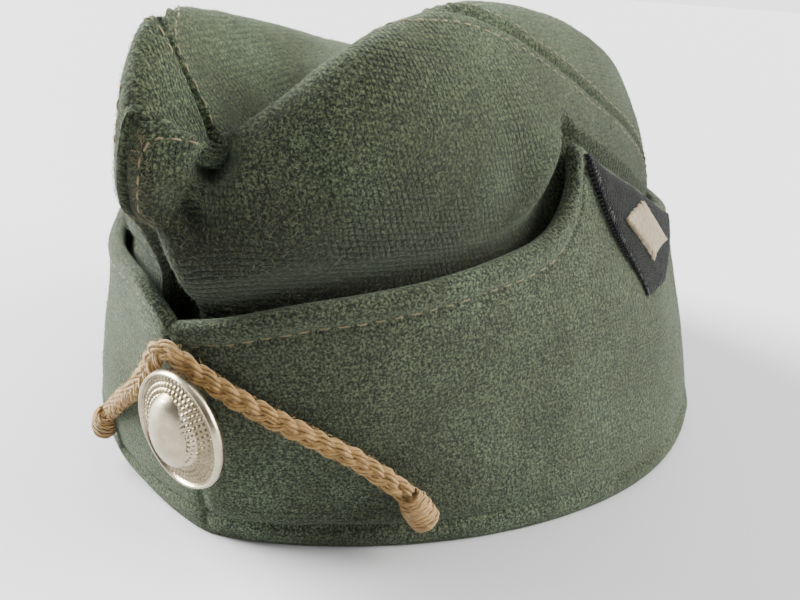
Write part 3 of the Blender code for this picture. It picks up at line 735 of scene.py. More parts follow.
def hold_inside(points):
    """Move crown points in to clear the curtain, with a tuck along the curtain's edge."""
    x, y, up = points[..., 0], points[..., 1], points[..., 2]
    is_left = x > 0.0
    rise = np.maximum(up - HEM_TURN, 0.0)
    lean = np.where(is_left, SIDE_LEAN[LEFT], SIDE_LEAN[RIGHT])
    front_power = np.where(is_left, FRONT_POWER[LEFT], FRONT_POWER[RIGHT])
    turn = np.arctan2(np.abs(x) / RIM_WIDTH, -y / RIM_LENGTH)
    for _ in range(4):
        along = turn / np.pi
        edge = np.where(is_left, edge_up(LEFT, along), edge_up(RIGHT, along))
        over = np.maximum(up - edge - 2 * EDGE_ROLL, 0.0)
        tuck = EDGE_TUCK * np.interp(along, TUCK_AT, TUCK_SHARE)
        tuck = tuck * np.exp(-(((up - edge) / EDGE_TUCK_UP) ** 2))
        inset = CURTAIN_WALL + EDGE_ROLL + CROWN_SLACK + tuck - over * OVERHANG
        reach = RIM_LENGTH / 2 - inset + np.where(along < 0.5, FRONT_LEAN, -BACK_LEAN) * rise
        half = RIM_WIDTH / 2 - inset - (lean + LEAN_GROWTH * rise) * rise
        power = front_power + (BACK_POWER - front_power) * along
        wide = (np.abs(x) / half) ** (1.0 / power)
        deep = -y / reach
        turn = np.arctan2(wide, deep)
    size = np.maximum(np.hypot(wide, deep), 1.0)
    return np.stack((x / size**power, y / size, up), axis=-1)


print("tuck at the curtain's edge, in mm:", EDGE_TUCK * 1000)

# %% [markdown]
# ## The side panels
#
# Each side of the crown is one panel, from the front seam to the side seam at the back and
# from the rim to the seam of the top panel. Its loops crowd together near the seams, where
# the cloth puckers, and stay wide apart on the plain flank. Subdividing everything evenly
# would give the same detail for many times the faces.

# %% Work out the crown's panels
FRONT_STEPS = np.concatenate((np.arange(0.0, 0.12, 0.004), np.arange(0.12, 0.634, 0.0048)))
side_columns = np.append(FRONT_STEPS, SIDE_SEAM_BACK)
NEAR_SEAM = np.array([9.0, 7.4, 6.2, 5.2, 4.4, 3.7, 3.0, 2.4, 1.8, 1.2, 0.6, 0.0]) / 1000


def crown_relief(grid, normals, seam_near, front_near):
    """Push the crown's cloth in at seams and creases and out at its rolls."""
    depth = SEAM_DEPTH * (seam_near + front_near)
    for line, width, deep in crease_lines:
        depth = depth + deep * near_line(grid, line, width)
    soft = np.clip((grid[..., 2] - 0.030) / 0.02, 0.0, 1.0)
    depth = depth + soft * 0.00055 * cloudy(grid, 0.026, 3.0)
    depth = depth + soft * 0.00022 * cloudy(grid, 0.0085, 11.0)
    pucker = 0.00018 * cloudy(grid, 0.0030, 23.0)
    wide_seam = np.minimum(seam_near**0.22 + front_near**0.22, 1.0)
    depth = depth + pucker * wide_seam
    return hold_inside(grid - normals * depth[..., None])


def side_panel(side):
    """Grid, metres and distances of one side of the crown."""
    coarse = 92
    grid, metres, from_seam, rows_at = [], [], [], []
    run = 0.0
    for count, along in enumerate(side_columns):
        controls = section(side, along)
        places, lengths = measured(controls, 0.0, seam_place(side, along))
        total = lengths[-1]
        wanted = (total - NEAR_SEAM[0]) * (np.arange(coarse) / coarse) ** 0.85
        wanted = np.concatenate((wanted, total - NEAR_SEAM))
        rows_at.append(np.interp(wanted, lengths, places))
        line = curve_points(controls, rows_at[-1])
        if count:
            run += np.linalg.norm(line[40] - grid[-1][40])
        grid.append(line)
        metres.append(np.stack((np.full(len(wanted), run), wanted), axis=1))
        from_seam.append(total - wanted)
    grid, metres, from_seam = np.array(grid), np.array(metres), np.array(from_seam)
    seam_fade = np.clip((side_columns - 0.004) / 0.03, 0.0, 1.0)[:, None]
    seam_near = np.exp(-((from_seam / SEAM_WIDTH) ** 2)) * seam_fade
    steps = np.linalg.norm(np.diff(grid, axis=0), axis=2)
    from_front = np.concatenate((np.zeros((1, grid.shape[1])), np.cumsum(steps, axis=0)))
    front_near = np.exp(-((from_front / SEAM_WIDTH) ** 2))
    normals = grid_normals(grid, side)
    normals[0] = normals[1]
    shaped = crown_relief(grid, normals, seam_near, front_near)
    return shaped, metres, np.array(rows_at)


panels = {side: side_panel(side) for side in (LEFT, RIGHT)}
print("side panel grids:", panels[LEFT][0].shape[:2], panels[RIGHT][0].shape[:2])

# %% [markdown]
# ## The hollow at the front
#
# Low at the front the right panel dives behind the curtain and rolls under the front fold.
# Its creases are so close there that they would fold over one another. Averaging each column
# with its neighbours, only low down and only near the seam, lets the cloth hang in one soft
# bend, as thick wool does. Both panels then share the seam's points, so that no gap is left.

# %% Settle the cloth in the front hollow
SETTLE_TOP = 0.071
SETTLE_FADE = 0.010
SETTLE_COLUMNS = 16.0
SETTLE_ROUNDS = 90


def settle(grid):
    """Smooth the cloth low beside the front seam, where its creases would cross."""
    low = np.clip((SETTLE_TOP - grid[..., 2]) / SETTLE_FADE, 0.0, 1.0)
    near = np.exp(-((np.arange(len(grid)) / SETTLE_COLUMNS) ** 2))[:, None]
    share = (0.5 * low * near)[1:-1, :, None]
    for _ in range(SETTLE_ROUNDS):
        grid[1:-1] += ((grid[:-2] + grid[2:]) / 2 - grid[1:-1]) * share


settle(panels[RIGHT][0])
joined = (panels[LEFT][0][0] + panels[RIGHT][0][0]) / 2
for side in (LEFT, RIGHT):
    panels[side][0][0] = joined
print("lowest point of the joined seam, in mm:", round(joined[:, 2].min() * 1000, 1))


# %% Sew the crown's sides
def cloth_wall(piece, wall=CLOTH_WALL):
    """Give an open cloth surface its thickness, inwards."""
    shell = piece.modifiers.new("Wall", "SOLIDIFY")
    shell.thickness = wall
    shell.offset = -1.0
    shell.use_even_offset = False
    shell.use_rim = True


for side, word in ((LEFT, "left"), (RIGHT, "right")):
    grid, metres = panels[side][0], panels[side][1]
    piece = grid_piece("crown_cloth_" + word, grid, metres, crown_wool, flip=side == RIGHT)
    cloth_wall(piece)
    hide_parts("crown_side_" + word)
    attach(piece, "root")
    print(piece.name, "quads:", len(piece.data.polygons))


# %% [markdown]
# ## The top panel
#
# The top panel is a long leaf of cloth between the two side seams. It starts as a point in
# the front fold, sinks into the middle fold, and at the back it runs down to the rim. It is
# one grid from rim to rim: in front only its roof is kept, and behind the side seams all of
# it. Cutting the leaf's outline out of a plane would leave ragged loops along both seams.


# %% Work out the top panel
def top_panel():
    """Grid and metres of the top panel, the first column of its back and its skirt's rows."""
    upper, lower = 52, 52
    first = int(np.searchsorted(side_columns, TOP_TIP + 0.003))
    front = side_columns[first:]
    back = np.linspace(SIDE_SEAM_BACK, 1.0, 74)[1:]
    columns = np.concatenate((front, back))
    near = NEAR_SEAM[::-1]
    grid, metres, from_seam = [], [], []
    run = 0.0
    for count, along in enumerate(columns):
        halves = []
        for side in (LEFT, RIGHT):
            controls = section(side, along)
            seam = seam_place(side, along)
            low_places, low_lengths = measured(controls, 0.0, seam)
            places, lengths = measured(controls, seam, MIDDLE_PLACE)
            total = lengths[-1]
            skirt = curve_points(
                controls,
                np.interp(low_lengths[-1] * np.arange(lower) / lower, low_lengths, low_places),
            )
            close = near * min(1.0, 0.7 * total / near[-1])
            rest = close[-1] + (total - close[-1]) * np.arange(1, upper + 1) / upper
            wanted = np.concatenate((close, rest))
            roof = curve_points(controls, np.interp(wanted, lengths, places))
            line = np.concatenate((skirt, roof))
            away = np.concatenate((np.full(lower, 9.0), wanted))
            skirt_at = -low_lengths[-1] * (1 - np.arange(lower) / lower)
            cross = total - np.concatenate((skirt_at, wanted))
            if side == RIGHT:
                line, away, cross = line[-2::-1], away[-2::-1], -cross[-2::-1]
            halves.append((line, away, cross))
        line = np.concatenate([half[0] for half in halves])
        if count:
            middle = len(line) // 2
            run += np.linalg.norm(line[middle] - grid[-1][middle])
        grid.append(line)
        from_seam.append(np.concatenate([half[1] for half in halves]))
        cross = np.concatenate([half[2] for half in halves])
        metres.append(np.stack((np.full(len(cross), run), cross), axis=1))
    grid, metres, from_seam = np.array(grid), np.array(metres), np.array(from_seam)
    has_seam = (columns <= SIDE_SEAM_BACK + 1e-6)[:, None]
    seam_near = np.exp(-((from_seam / SEAM_WIDTH) ** 2)) * has_seam
    side_seam = np.exp(-((((columns - SIDE_SEAM_BACK) * 0.29) / SEAM_WIDTH) ** 2))[:, None]
    in_skirt = from_seam > 1.0
    seam_near = np.maximum(seam_near, side_seam * in_skirt)
    back_near = np.zeros_like(seam_near)
    normals = grid_normals(grid)
    normals[-1] = np.array((0.0, 1.0, 0.0))
    shaped = crown_relief(grid, normals, seam_near, back_near)
    shaped[-1, :, 0] = 0.0
    return shaped, metres, len(front) - 1, lower


top_grid, top_metres, first_back, skirt_rows = top_panel()
last_row = top_grid.shape[1] - 1
print("top panel grid:", top_grid.shape[:2], "back from column", first_back)


# %% Sew the top panel
def in_top_panel(i, j):
    """Whether a quad of the grid is cloth: all of it at the back, the roof in front."""
    return i >= first_back or skirt_rows <= j < last_row - skirt_rows


top_cloth = grid_piece(
    "crown_cloth_top", top_grid, top_metres, crown_wool, keep=in_top_panel
)
cloth_wall(top_cloth)
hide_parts("crown_top")
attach(top_cloth, "root")
print("top panel quads:", len(top_cloth.data.polygons))

# %% [markdown]
# ## The curtain
#
# The curtain is the double band that is turned up all the way round, and on the real cap it
# can be folded down over the ears. Its edge is a rolled fold, thicker than the band, and a
# row of stitches holds it. Here it is one closed ring: up the outer face, over the roll and
# down the inner face, so it has true thickness from every side.

# %% Work out the curtain's ring
HEM_UP = 0.0056
TOP_ROW_DOWN = 0.0050
ROLL_RADIUS = 0.0016
BAND = np.array([9.0, 7.6, 6.6, 5.9, 5.4, 5.0, 4.6, 4.1, 3.5, 2.9, 2.2]) / 1000
HEM_ROWS = np.array([0.0012, 0.0026, 0.0038, 0.0046, 0.0051, 0.0056, 0.0061, 0.0067, 0.0078])
OUTER_ROWS = 44
INNER_ROWS = 22
RING_STEPS = np.concatenate((np.arange(0.0, 0.1, 0.0036), np.arange(0.1, 0.998, 0.0042)))
FLANK = (
    # side, along, up, half length along, half height, how far out
    (RIGHT, 0.170, 0.016, 0.080, 0.018, 0.0022),
    (RIGHT, 0.120, 0.046, 0.045, 0.010, -0.0008),
    (RIGHT, 0.150, 0.036, 0.050, 0.010, -0.0010),
    (LEFT, 0.060, 0.012, 0.040, 0.012, 0.0006),
    (LEFT, 0.420, 0.040, 0.060, 0.022, 0.0010),
    (LEFT, 0.300, 0.020, 0.080, 0.016, -0.0007),
    (LEFT, 0.200, 0.040, 0.050, 0.014, 0.0007),
    (RIGHT, 0.500, 0.030, 0.090, 0.022, 0.0012),
)


def curtain_column(side, along):
    """Heights, insets and outward shares of one column, up the outside and down the inside."""
    top = float(edge_up(side, along))
    body = np.linspace(HEM_ROWS[-1], top - BAND[0], OUTER_ROWS + 1)[1:-1]
    ups = np.concatenate(([0.0, 0.0003], HEM_ROWS, body, top - BAND))
    insets = np.zeros(len(ups))
    insets[0], insets[1] = 0.0007, 0.0001
    show = np.clip(ups / 0.002, 0.0, 1.0)
    angles = np.radians(np.linspace(12, 168, 9))
    roll_up = top - ROLL_RADIUS + ROLL_RADIUS * np.sin(angles)
    roll_in = ROLL_RADIUS - (ROLL_RADIUS + 0.00025) * np.cos(angles)
    inner_up = np.linspace(top - ROLL_RADIUS - 0.0006, 0.0008, INNER_ROWS)
    inner_in = np.full(INNER_ROWS, CURTAIN_WALL)
    inner_in[0] = 2 * ROLL_RADIUS - 0.0002
    inner_in[1] = CURTAIN_WALL + 0.0003
    foot_up, foot_in = [0.0], [CURTAIN_WALL - 0.0007]
    ups = np.concatenate((ups, roll_up, inner_up, foot_up))
    insets = np.concatenate((insets, roll_in, inner_in, foot_in))
    shares = np.concatenate((show, np.cos(angles) * 0.5 + 0.5, np.zeros(INNER_ROWS + 1)))
    return ups, insets, shares


ring_sides = [(LEFT, at) for at in RING_STEPS] + [(LEFT, 1.0)]
ring_sides += [(RIGHT, at) for at in RING_STEPS[:0:-1]]
ring_grid, ring_shares, ring_ups, ring_edges = [], [], [], []
for side, along in ring_sides:
    ups, insets, shares = curtain_column(side, along)
    ring_grid.append(
        np.array([curtain_face(side, along, up, inset) for up, inset in zip(ups, insets)])
    )
    ring_shares.append(shares)
    ring_ups.append(ups)
    ring_edges.append(float(edge_up(side, along)))
ring_grid, ring_shares = np.array(ring_grid), np.array(ring_shares)
ring_ups, ring_edges = np.array(ring_ups), np.array(ring_edges)[:, None]
print("curtain ring:", ring_grid.shape[:2])


# %% [markdown]
# ## The curtain's relief
#
# Worn cloth bellies out where the head is wide and falls in between. Below the rolled edge
# and above the hem the stitches draw the band into two narrow troughs, and the seams at the
# front and the back are drawn in as well. All of it is pushed along the ring's normals, on
# the outer face only, so the inner face stays clear of the crown. A displacement texture
# could do the same, but its depths would be harder to measure against the stitches.


# %% Shape the curtain's outer face
def ring_normals(grid):
    """Unit normals of the ring, which joins its last column to its first."""
    wrapped = np.concatenate((grid[-1:], grid, grid[:1]))
    return grid_normals(wrapped)[1:-1]


outer = ring_normals(ring_grid)
signed = np.array([side * along for side, along in ring_sides])[:, None]
puff = np.zeros(ring_ups.shape)
for side, along, up, long, tall, out in FLANK:
    spread = np.exp(-(((signed - side * along) / long) ** 2) - ((ring_ups - up) / tall) ** 2)
    puff += out * spread
below_edge = ring_edges - ring_ups
top_row = np.exp(-(((below_edge - TOP_ROW_DOWN) / 0.0008) ** 2))
band_roll = 0.00045 * np.exp(-(((below_edge - 0.0026) / 0.0018) ** 2))
hem_row = np.exp(-(((ring_ups - HEM_UP) / 0.0009) ** 2))
hem_roll = 0.0004 * np.exp(-(((ring_ups - 0.0030) / 0.0016) ** 2))
arc = np.array([along for _, along in ring_sides])
front_seam = np.exp(-((arc * 60.0) ** 2))[:, None]
back_seam = np.exp(-(((1.0 - arc) * 60.0) ** 2))[:, None]
push = puff + band_roll + hem_roll - 0.0005 * top_row - 0.0006 * hem_row
push -= 0.0007 * np.maximum(front_seam, back_seam) * (below_edge > 0.0015)
push += 0.00040 * cloudy(ring_grid, 0.024, 5.0) + 0.00018 * cloudy(ring_grid, 0.0080, 17.0)
push += 0.00016 * cloudy(ring_grid, 0.0028, 29.0) * np.minimum(top_row + hem_row, 1.0) ** 0.3
ring_shaped = ring_grid + outer * (push * ring_shares)[..., None]
run = np.linalg.norm(np.diff(ring_shaped[:, 30], axis=0, append=ring_shaped[:1, 30]), axis=1)
run = np.concatenate(([0.0], np.cumsum(run)))
rise = np.linalg.norm(np.diff(ring_shaped, axis=1, append=ring_shaped[:, :1]), axis=2)
rise = np.concatenate((np.zeros((len(rise), 1)), np.cumsum(rise, axis=1)), axis=1)
rise = np.concatenate((rise, rise[:1]))
ring_metres = np.stack((np.broadcast_to(run[:, None], rise.shape), rise), axis=-1)
curtain_cloth = grid_piece(
    "curtain_cloth", ring_shaped, ring_metres, curtain_wool, ring=True, loop=True
)
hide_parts("curtain_left", "curtain_right")
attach(curtain_cloth, "root")
print("curtain quads:", len(curtain_cloth.data.polygons), "round in mm:", round(run[-1] * 1000))

# %% [markdown]
# ## Stitches
#
# The seams are sewn with a tan linen thread, and the stitches sit in small dimples of the
# cloth. Each stitch is a short bent tube that rises out of the wool and dives back into it.
# A texture could paint them, but then they would lie flat in a close view.


# %% Spin the thread
def thread_material(name, dark, light, twist=5200.0):
    """Spun thread: two tones along its fibres and a fine bump."""
    made, tree, shader = new_material(name)
    place = add_node(tree, "ShaderNodeTexCoord").outputs["Object"]
    tone = ramp(tree, speckle(tree, place, 900.0, 4.0, 0.7), ((0.3, dark), (0.7, light)))
    tree.links.new(tone, shader.inputs["Base Color"])
    bump = add_node(
        tree,
        "ShaderNodeBump",
        {"Strength": 0.7, "Distance": 0.00012, "Height": speckle(tree, place, twist, 3.0)},
    )
    tree.links.new(bump.outputs[0], shader.inputs["Normal"])
    shader.inputs["Roughness"].default_value = 0.85
    shader.inputs["Sheen Weight"].default_value = 0.2
    return made


seam_thread = thread_material("seam_thread", (0.062, 0.050, 0.020), (0.150, 0.118, 0.048))
worn_thread = thread_material("worn_thread", (0.055, 0.040, 0.016), (0.125, 0.088, 0.034))
print("threads:", seam_thread.name, worn_thread.name)


# %% Helpers for tubes
def tube(points, radii, sides, ups):
    """Vertices and faces of a closed tube along points; ups are rough upward vectors."""
    points = np.asarray(points)
    tangents = unit(np.gradient(points, axis=0))
    aside = unit(np.cross(tangents, ups))
    over = np.cross(aside, tangents)
    angles = np.arange(sides) * (2 * np.pi / sides)
    radii = np.asarray(radii)[:, None, None]
    ring = aside[:, None] * np.cos(angles)[None, :, None]
    ring = ring + over[:, None] * np.sin(angles)[None, :, None]
    vertices = (points[:, None] + ring * radii).reshape(-1, 3)
    faces = []
    for k in range(len(points) - 1):
        for m in range(sides):
            n = (m + 1) % sides
            faces.append((k * sides + m, k * sides + n, (k + 1) * sides + n, (k + 1) * sides + m))
    faces.append(tuple(range(sides))[::-1])
    last = (len(points) - 1) * sides
    faces.append(tuple(range(last, last + sides)))
    return vertices, faces


class Bundle:
    """Collects many small tubes into one mesh."""

    def __init__(self):
        self.vertices, self.faces, self.count = [], [], 0

    def add(self, points, radii, sides, ups):
        vertices, faces = tube(points, radii, sides, ups)
        self.vertices.append(vertices)
        self.faces += [tuple(k + self.count for k in face) for face in faces]
        self.count += len(vertices)

    def piece(self, name, material, slot):
        points = np.concatenate(self.vertices) + RIM_MIDDLE
        made = mesh_piece(name, points, self.faces, material)
        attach(made, "root")
        print(name, "tubes' quads:", len(self.faces))
        return made


print("tubes ready")


# %% Helpers for stitches
def evenly(values, at, where):
    """Rows of values that are known at lengths at, read at the lengths where."""
    return np.stack([np.interp(where, at, values[:, k]) for k in range(3)], axis=1)


def sew(bundle, line, normals, draw, pitch=0.0030, length=0.0021, radius=0.00015, skip=0.0):
    """Row of stitches along a line on the cloth; skip is the share of worn-out ones."""
    line, normals = np.asarray(line), np.asarray(normals)
    at = lengths_along(line)
    start = pitch * 0.3
    while start + length < at[-1]:
        if draw.random() >= skip:
            where = np.linspace(start, start + length * draw.uniform(0.88, 1.05), 7)
            points, up = evenly(line, at, where), evenly(normals, at, where)
            arch = np.sin(np.linspace(0.0, np.pi, 7)) ** 0.5
            lift = radius * (-1.3 + 2.1 * arch) + draw.uniform(-0.00010, 0.00006)
            aside = unit(np.cross(up, np.gradient(points, axis=0)))
            points = points + up * lift[:, None] + aside * draw.uniform(-0.00014, 0.00014)
            radii = radius * (0.75 + 0.35 * arch)
            bundle.add(points, radii, 6, up)
        start += pitch * draw.uniform(0.94, 1.06)


print("stitches ready")

# %% Sew the curtain's edge
draw = random.Random(4)
top_row_index = 2 + len(HEM_ROWS) + OUTER_ROWS - 1 + list(BAND).index(0.0050)
ring_outer = ring_normals(ring_shaped)
edge_stitches = Bundle()
closed_line = np.concatenate((ring_shaped[:, top_row_index], ring_shaped[:1, top_row_index]))
closed_up = np.concatenate((ring_outer[:, top_row_index], ring_outer[:1, top_row_index]))
for side in (LEFT, RIGHT):
    for start, end, gone in ((0.024, 0.345, 0.04), (0.345, 0.430, 0.65), (0.430, 0.985, 0.10)):
        chosen = [k for k, (s, at) in enumerate(ring_sides) if s == side and start <= at <= end]
        line, up = closed_line[chosen], closed_up[chosen]
        sew(edge_stitches, line, up, draw, 0.0034, 0.0023, 0.00015, gone)
edge_stitches.piece("curtain_edge_stitches", seam_thread, "whipping")


# %% [markdown]
# ## The seams of the crown
#
# Two rows of stitches run along each side of the top panel, one on either panel, where the
# seam's allowance was sewn down. The rows round the front fold are older: their thread is
# darker and some stitches are gone. The rows follow the finished cloth, looked up on its
# grid, so no stitch hangs in the air where a crease pulls the cloth away.


# %% Sew the crown's seams
def on_crown(side, along, place):
    """Point and normal of the finished crown cloth at a place on its section."""
    grid, _, rows_at = panels[side]
    i = min(int(np.searchsorted(side_columns, along, "right")) - 1, len(side_columns) - 2)
    share = (along - side_columns[i]) / (side_columns[i + 1] - side_columns[i])
    found = []
    for values in (grid, panel_normals[side]):
        pair = []
        for k in (i, i + 1):
            column = [np.interp(place, rows_at[k], values[k][:, axis]) for axis in range(3)]
            pair.append(np.array(column))
        found.append(pair[0] * (1 - share) + pair[1] * share)
    return found[0], found[1] / np.linalg.norm(found[1])


panel_normals = {side: grid_normals(panels[side][0], side) for side in (LEFT, RIGHT)}
FRONT_ROWS = (
    (LEFT, ((0.008, 1.95), (0.009, 2.15), (0.010, 2.35), (0.012, 2.58), (0.017, 2.74),
            (0.026, 2.84), (0.038, 2.88), (0.052, 2.92), (0.064, 2.94))),
    (RIGHT, ((0.034, 1.80), (0.040, 2.05), (0.047, 2.25), (0.054, 2.45), (0.062, 2.62),
             (0.070, 2.85))),
)
seam_stitches, front_stitches = Bundle(), Bundle()
for side, spots in FRONT_ROWS:
    spots = np.array(spots)
    marks = np.linspace(0.0, len(spots) - 1.0, 90)
    found = [
        on_crown(
            side,
            float(np.interp(mark, range(len(spots)), spots[:, 0])),
            float(np.interp(mark, range(len(spots)), spots[:, 1])),
        )
        for mark in marks
    ]
    line, up = np.array([pair[0] for pair in found]), np.array([pair[1] for pair in found])
    sew(front_stitches, line, up, draw, 0.0027, 0.0019, 0.00016, 0.10)
below_index = len(NEAR_SEAM) - list(NEAR_SEAM).index(0.0052)
above_index = list(NEAR_SEAM[::-1]).index(0.0030)
for side in (LEFT, RIGHT):
    first = int(np.searchsorted(side_columns, 0.115))
    line, up = panels[side][0][first:, -below_index], panel_normals[side][first:, -below_index]
    sew(seam_stitches, line, up, draw, skip=0.06)
top_normals = grid_normals(top_grid)
row_left, row_right = skirt_rows + above_index, last_row - skirt_rows - above_index
for row in (row_left, row_right):
    line, up = top_grid[12:first_back, row], top_normals[12:first_back, row]
    sew(seam_stitches, line, up, draw, skip=0.08)
seam_stitches.piece("crown_seam_stitches", seam_thread, "whipping")
front_stitches.piece("front_seam_stitches", worn_thread, "whipping")

# %% [markdown]
# ## The braided cord
#
# The chevron over the button is a flat three-strand braid, sewn to the curtain along its
# underside. Each strand wanders from edge to edge while it goes over and under the others,
# and it is itself a bundle of soft yarns. So every yarn is a tube that follows its strand,
# and the strand follows the braid's route on the cloth. It is fixed all along.

# %% Route of the cord
CORD_WIDTH = 0.0044
CORD_APEX_UP = 0.0480
LEG = {
    LEFT: (
        (0.000, 1.000), (0.012, 0.990), (0.031, 0.950), (0.056, 0.874), (0.091, 0.755),
        (0.127, 0.632), (0.161, 0.487), (0.187, 0.320),
    ),
    RIGHT: (
        (0.000, 1.000), (0.012, 0.985), (0.035, 0.900), (0.076, 0.735), (0.120, 0.560),
        (0.155, 0.395), (0.178, 0.270),
    ),
}
cord_points, cord_ups = [], []
for side in (LEFT, RIGHT):
    ends = np.linspace(LEG[side][-1][0], 0.0, 60)
    leg = [(at, float(read_table(LEG[side], at)[0]) * CORD_APEX_UP) for at in ends]
    spots = [on_curtain(side, at, up, CORD_WIDTH / 2 + PIECE_GAP) for at, up in leg]
    ups = [outward(side, at, up) for at, up in leg]
    if side == RIGHT:
        spots, ups = spots[-2::-1], ups[-2::-1]
    cord_points += spots
    cord_ups += ups
cord_points, cord_ups = np.array(cord_points), np.array(cord_ups)
cord_at = lengths_along(cord_points)
print("cord in mm:", round(cord_at[-1] * 1000, 1))

# %% Braid the cord
BRAID_PITCH = 0.0120
STRAND_SWING = 0.00110
STRAND_RISE = 0.00036
YARN_RADIUS = 0.00036
YARN_OUT = 0.00076
YARN_TWIST = 0.016
braid_colour = thread_material("braid_yarn", (0.115, 0.060, 0.014), (0.31, 0.178, 0.049), 4200.0)
where = np.arange(0.0, cord_at[-1], 0.00045)
route = evenly(cord_points, cord_at, where)
for _ in range(30):
    route[1:-1] = (route[:-2] + 2 * route[1:-1] + route[2:]) / 4
tangent = unit(np.gradient(route, axis=0))
aside = unit(np.cross(tangent, unit(evenly(cord_ups, cord_at, where))))
up = np.cross(aside, tangent)
route_aside, route_up = aside, up
braid = Bundle()
draw = random.Random(12)
for strand in range(3):
    angle = 2 * np.pi * (where / BRAID_PITCH + strand / 3)
    swing = STRAND_SWING * np.sin(angle) * (1 + 0.10 * np.sin(where * 190 + strand))
    lift = STRAND_RISE * np.sin(2 * angle)
    middle = route + aside * swing[:, None] + up * lift[:, None]
    for yarn in range(6):
        spin = 2 * np.pi * (yarn / 6 + where / YARN_TWIST) + strand
        out = YARN_OUT * (1 + 0.12 * np.sin(where * 900 + yarn * 2.1))
        place = middle + aside * (out * np.cos(spin))[:, None]
        place = place + up * (out * 0.8 * np.sin(spin))[:, None]
        radii = YARN_RADIUS * (1 + 0.12 * np.sin(where * 900 + yarn))
        braid.add(place, radii, 6, up)
cord_piece = braid.piece("chevron_braid", braid_colour, "braid")
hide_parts("chevron_cord")
route_ends = {LEFT: (route[0], route[0] - route[6]), RIGHT: (route[-1], route[-1] - route[-7])}

# %% [markdown]
# ## The cord's bound ends
#
# A braid would come undone where it is cut, so each end is whipped: thread is wound round it
# in close turns and pulled tight at the tip. A bumpy cylinder would pass from afar. Winding
# three twisted plies along one coil costs little more, and it keeps the thread's slant and
# the small gaps between turns. A plain core inside closes the view through the turns.

# %% Bind the cord's ends
WHIPPING_DROP = 0.55
WHIPPING_LENGTH = 0.0080
WHIPPING_RADIUS = 0.0028
WHIPPING_TURNS = 10.5
WHIPPING_STEPS = 380
PLY_RADIUS = 0.00029
CORE_RADIUS = 0.0024
CORE_STEPS = 9
for side, word in ((LEFT, "left"), (RIGHT, "right")):
    end, heading = route_ends[side]
    heading = heading / np.linalg.norm(heading)
    heading = heading + np.array((0.0, 0.0, -WHIPPING_DROP))
    heading /= np.linalg.norm(heading)
    face = outward(side, LEG[side][-1][0], 0.015)
    across = np.cross(heading, face)
    across /= np.linalg.norm(across)
    face = np.cross(across, heading)
    base = end + face * 0.0008 - heading * 0.0006
    binding = Bundle()
    t = np.linspace(0.0, 1.0, WHIPPING_STEPS)
    spin = 2 * np.pi * WHIPPING_TURNS * t
    barrel = np.interp(t, (0.0, 0.12, 0.3, 0.8, 0.92, 1.0), (0.62, 0.84, 0.97, 1.0, 0.86, 0.12))
    down = WHIPPING_LENGTH * np.interp(t, (0.0, 0.88, 1.0), (0.04, 0.93, 1.0))
    wide = WHIPPING_RADIUS * barrel * (1.0 + 0.05 * np.sin(3.1 * t * WHIPPING_TURNS))
    tilt = 0.00035 * np.sin(spin + 7.0 * t)
    coil = base + heading * (down + tilt)[:, None]
    coil = coil + across * (wide * np.cos(spin))[:, None]
    coil = coil + face * (wide * 0.86 * np.sin(spin))[:, None]
    outwards = across * np.cos(spin)[:, None] + face * np.sin(spin)[:, None]
    for ply in range(3):
        angle = 2 * np.pi * (ply / 3 + t * WHIPPING_TURNS * 2.6)
        path = coil + outwards * (0.00021 * np.cos(angle))[:, None]
        path = path + heading * (0.00024 * np.sin(angle))[:, None]
        radii = np.full(WHIPPING_STEPS, PLY_RADIUS)
        binding.add(path, radii, 5, np.tile(heading, (WHIPPING_STEPS, 1)))
    core = base + heading * np.linspace(0.0006, WHIPPING_LENGTH - 0.0006, CORE_STEPS)[:, None]
    core_at = np.linspace(0.0, 1.0, CORE_STEPS)
    core_radii = CORE_RADIUS * np.interp(core_at, (0.0, 0.3, 0.8, 1.0), (0.7, 1.0, 1.0, 0.6))
    binding.add(core, core_radii, 14, np.tile(face, (CORE_STEPS, 1)))
    bound = binding.piece("cord_binding_" + word, braid_colour, "whipping")
    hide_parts("cord_end_" + word)

# %% [markdown]
# ## The button
#
# The button is struck from sheet metal: a thin raised rim, a pebbled field and a smooth oval
# boss, worn bright on top and dull in the hollows. The field's grains are real relief, one
# dome for each grain on rings around the middle, because they catch the light one by one.
# The boss is left plain.

# %% Strike the button
BUTTON_RADIUS = 0.0113
BUTTON_DISH = 0.0016
BUTTON_STAND = 0.0067
SHANK_CLEAR = 0.0010
SHANK_RADIUS = 0.0025
BUTTON_UP = 0.0336
BUTTON_ASIDE = 0.0055
BUTTON_TURN = math.radians(15)
BUTTON_NOD = math.radians(2.4)
GRAIN = 0.00098
RIM_PROFILE = (
    # share of the radius, height in shares of the dish
    (0.00, 2.00), (0.30, 1.84), (0.50, 1.55), (0.70, 1.10), (0.84, 0.72), (0.90, 0.60),
    (0.915, 0.92), (0.94, 1.12), (0.965, 1.10), (0.985, 0.86), (1.00, 0.50),
)
BOSS_WIDE, BOSS_TALL, BOSS_HIGH = 0.44, 0.66, 0.0021
FIELD_MIDDLE, FIELD_HALF = 0.74, 0.145
SPOKES = 360


